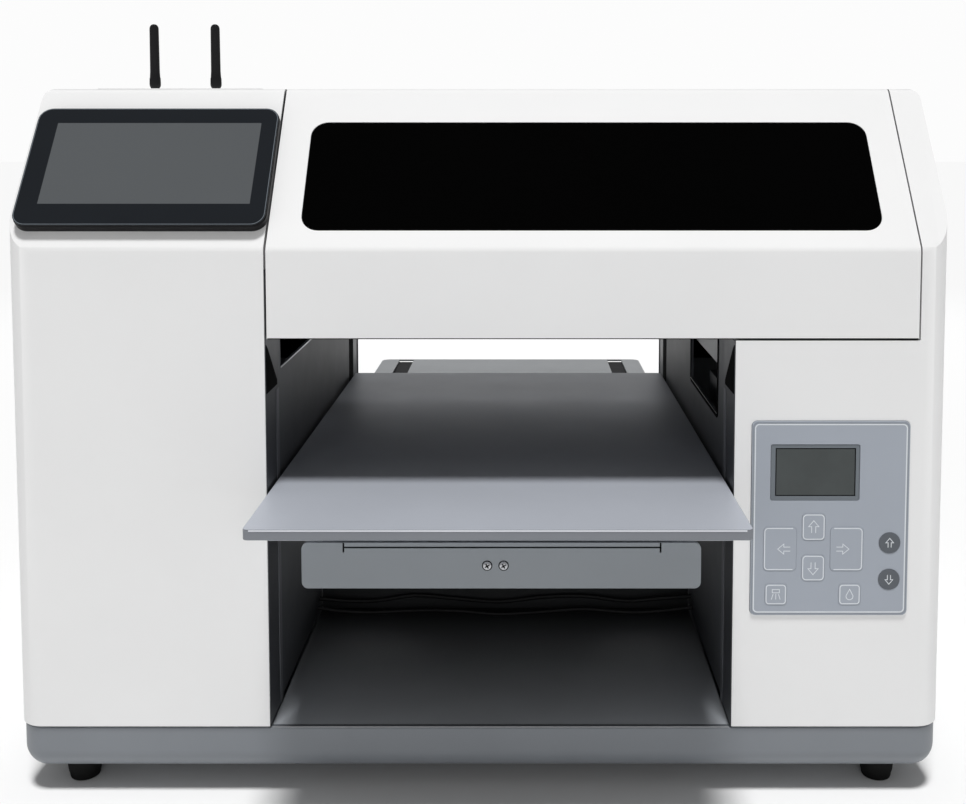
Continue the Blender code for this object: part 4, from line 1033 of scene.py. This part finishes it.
def make_keys():
    """Each key's cap with the thin web of film round it, its printed outline and its icon."""
    web_gap = 0.00006
    for name, *shape in KEYS:
        film_y = (PANEL_FACE_Y, PANEL_FACE_Y + 0.0005)
        web = band(f"{name}_film", key_outline(*shape, GAP), key_outline(*shape, web_gap), *film_y)
        dress(shade(web), FILM, "chassis")
        dark = "round" in name
        cap = prism(f"{name}_cap", key_outline(*shape), KEY_FACE_Y, KEY_FACE_Y + KEY_T, "Y")
        soften(shade(cap), 0.00025, 2)
        dress(cap, FILM_DARK if dark else FILM, name)
        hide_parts(name)

    line = 0.0007
    inner = 0.0008
    for name, x, z, width, height, radius in KEYS[:6]:
        outline = key_outline(x, z, width - 2 * inner, height - 2 * inner, radius - inner / 2)
        strokes = [[*outline, outline[0]]]
        if name in ("key_left", "key_right"):
            side = -1 if name == "key_left" else 1
            outline = [p for p in outline if (p[0] - x) * side > width * 0.2]
            outline.sort(key=lambda p: p[1])
            low = (x - side * (width / 2 - 0.0026), outline[0][1])
            high = (low[0], outline[-1][1])
            strokes = [[low, *outline, high]]
        printed(f"{name}_outline", strokes, line, KEY_FACE_Y, FILM_LINE, name)

    icons = {
        "key_up": arrow(0.2496, 0.2080, (0, 1), 0.0048),
        "key_down": arrow(0.2496, 0.1765, (0, -1), 0.0048),
        "key_left": arrow(0.2278, 0.1912, (-1, 0), 0.0048),
        "key_right": arrow(0.2713, 0.1912, (1, 0), 0.0048),
        "key_nozzle": nozzle(0.2221, 0.1565, 0.0038),
        "key_ink": drop(0.2772, 0.1560, 0.0036),
        "key_round_upper": arrow(0.3064, 0.1958, (0, 1), 0.0036),
        "key_round_lower": arrow(0.3064, 0.1680, (0, -1), 0.0036),
    }
    for name, strokes in icons.items():
        printed(f"{name}_icon", strokes, 0.00055, KEY_FACE_Y, FILM_LINE, name)


# ---- feet and antennas --------------------------------------------------------------------------


def make_feet():
    profile = [
        (0, 0), (0.0098, 0), (0.0108, 0.0004), (0.0112, 0.0014), (0.0118, 0.0050), (0.0121, 0.0054),
        (0.0121, 0.0064), (0.0124, 0.0068), (0.0134, 0.0150), (0.0136, 0.0162), (0.0134, 0.0167), (0, 0.0167),
    ]
    for end in ("front", "rear"):
        for side in ("left", "right"):
            low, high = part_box(f"foot_{end}_{side}")
            middle = (low + high) / 2
            foot = spun(f"rubber_foot_{end}_{side}", profile, 40)
            foot.data.transform(Matrix.Translation((middle.x, middle.y, 0)))
            dress(shade(foot, 50), RUBBER, "chassis")
            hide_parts(f"foot_{end}_{side}")


def make_antennas():
    pivot_z = 0.5430
    tip = 0.5940 - pivot_z
    foot_r = 0.0047
    turns = [math.radians(a) for a in range(-75, 1, 15)]
    foot = [(0, -foot_r), *[(foot_r * math.cos(t), foot_r * math.sin(t)) for t in turns]]
    whip = [
        (0.0046, 0.0050), (0.0043, 0.0060), (0.0040, 0.0110), (0.0038, tip - 0.0038),
        (0.0035, tip - 0.0023), (0.0026, tip - 0.0009), (0.0014, tip - 0.0002), (0, tip),
    ]
    for side, x in (("left", -0.2807), ("right", -0.2288)):
        rod = spun(f"antenna_whip_{side}", foot + whip, 32)
        rod.data.transform(Matrix.Translation((x, y_at(0.150), pivot_z)))
        dress(shade(rod, 50), ANTENNA, f"antenna_{side}")
        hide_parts(f"antenna_{side}")
    low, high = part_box("antenna_plate")
    outline = rounded(rectangle(low.x, high.x, low.y, high.y), [0.006] * 4)
    plate = prism("antenna_base_plate", outline, low.z, high.z)
    soften(shade(plate), 0.0003, 2)
    dress(plate, WHITE, "chassis")
    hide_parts("antenna_plate")
    screw_x, screw_y = (low.x + 0.008, low.x + 0.128), (low.y + 0.008, low.y + 0.068)
    for i in range(4):
        place = (screw_x[i % 2], screw_y[i // 2], high.z)
        screw_head(f"plate_fixing_{i}", place, 0.0022, 0.0003, (0, 0, 1), STEEL, "chassis")


# ---- rear ---------------------------------------------------------------------------------------


def make_rear():
    """Rear panel with ventilation slots, near-black sheets behind them as painted shade, screws, and the
    inlet's pins.
    """
    low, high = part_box("rear_panel")
    panel = box("rear_sheet", (low.x, high.x), (low.y, high.y), (low.z, high.z))
    through = (REAR_Y - PAST, REAR_Y + PAST)
    cutters = [
        box("tunnel", (OPEN_X0, OPEN_X1), through, (SHELL_Z0 - PAST, TUNNEL_TOP)),
        box("inlet_hole", (0.2355, 0.2645), through, (0.1035, 0.1265)),
        box("switch_hole", (0.2419, 0.2581), through, (0.1420, 0.1640)),
    ]
    width, pitch = 0.0045, 0.0115
    slots = []
    for row in range(3):
        for i in range(16):
            x = -0.086 + i * pitch
            z = 0.330 + row * 0.050
            slots.append(rectangle(x, x + width, z, z + 0.038))
    for i in range(9):
        z = 0.250 + i * pitch
        slots.append(rectangle(0.222, 0.292, z, z + width))
        slots.append(rectangle(-0.282, -0.212, z, z + width))
    cutters += [prism("slot", rounded(slot, [0.0022] * 4, 4), *through, "Y") for slot in slots]
    cut(panel, *cutters)
    soften(shade(panel), 0.0003, 2)
    dress(panel, BASE, "chassis")
    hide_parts("rear_panel")
    # Near-black sheets behind the slot groups: painted shade seen through the slots.
    shade_sheets = {
        "top": ((-0.0900, 0.0960), (0.3240, 0.4740)),
        "right": ((0.2180, 0.2960), (0.2460, 0.3510)),
        "left": ((-0.2860, -0.2080), (0.2460, 0.3510)),
    }
    for name, (x, z) in shade_sheets.items():
        trim(f"vent_shadow_sheet_{name}", x, (low.y - 0.0022, low.y - 0.0002), z, PAINTED_SHADOW)
    spots = [(x, z) for x in (-0.305, 0.305) for z in (0.075, 0.220, 0.370, 0.515)]
    spots += [(x, z) for x in (-0.180, 0.213) for z in (0.075, 0.290)]
    spots += [(-0.10, 0.515), (0.10, 0.515)]
    for i, (x, z) in enumerate(spots):
        screw_head(f"rear_screw_{i}", (x, high.y, z), 0.0030, 0.0009, (0, 1, 0), STEEL, "chassis")

    pin_y = (REAR_Y - 0.0180, REAR_Y - 0.0040)
    for i, (x, z) in enumerate(((0.243, 0.1130), (0.250, 0.1170), (0.257, 0.1130))):
        pin = box(f"inlet_pin_{i}", widened((x, x), 0.0020), pin_y, widened((z, z), 0.0010))
        soften(shade(pin), 0.0004, 2)
        dress(pin, STEEL, "chassis")
    for i, x in enumerate((0.2305, 0.2695)):
        place = (x, REAR_Y + 0.0015, 0.115)
        screw_head(f"inlet_screw_{i}", place, 0.0016, 0.0007, (0, 1, 0), STEEL, "chassis")


# ---- the CAD's own pieces ---------------------------------------------------------------------

SHOWN_NODES = (
    (FLOOR, "floor_plate"),
    (WALL, "left_inner_wall", "right_inner_wall", "capping_station"),
    (RUBBER, "x_belt"),
    (BLACK, "power_inlet", "power_switch", "print_head"),
    (BLACK, "x_motor", "y_motor", "z_motor_left", "z_motor_right"),
    (CABLE, "cavity_cable_upper", "cavity_cable_lower"),
    (STEEL, "hood_hinge_rod", "y_screw", "z_screw_left", "z_screw_right"),
    (STEEL, "y_rail_left", "y_rail_right", "bed_bracket_left", "bed_bracket_right"),
    (BASE_BLACK_AND_SHADE, "y_base"),
    (TRAY, "rear_tray"),
    (LIGHT_COVER, "carriage_body"),
    (ALUMINIUM, "x_beam", "x_drive_pulley", "x_idler_pulley", "uv_lamp", "power_supply"),
    (GREEN, "main_board"),
    (TANK, "ink_tanks"),
)


def finish_nodes():
    """Gives the CAD pieces that stay in sight their finishes and soft edges."""
    for finish, *names in SHOWN_NODES:
        for name in names:
            piece = NODES[name]
            piece.data.materials.clear()
            piece.data.materials.append(finish)
            soften(shade(piece), 0.0003, 2)


make_camera()
make_stage()
make_base()
make_housings()
make_hood()
make_top_cover()
make_touch_panel()
make_jambs()
make_front_plate()
make_bed()
make_carriage()
make_motor_caps()
make_key_panel()
make_feet()
make_antennas()
make_rear()
finish_nodes()
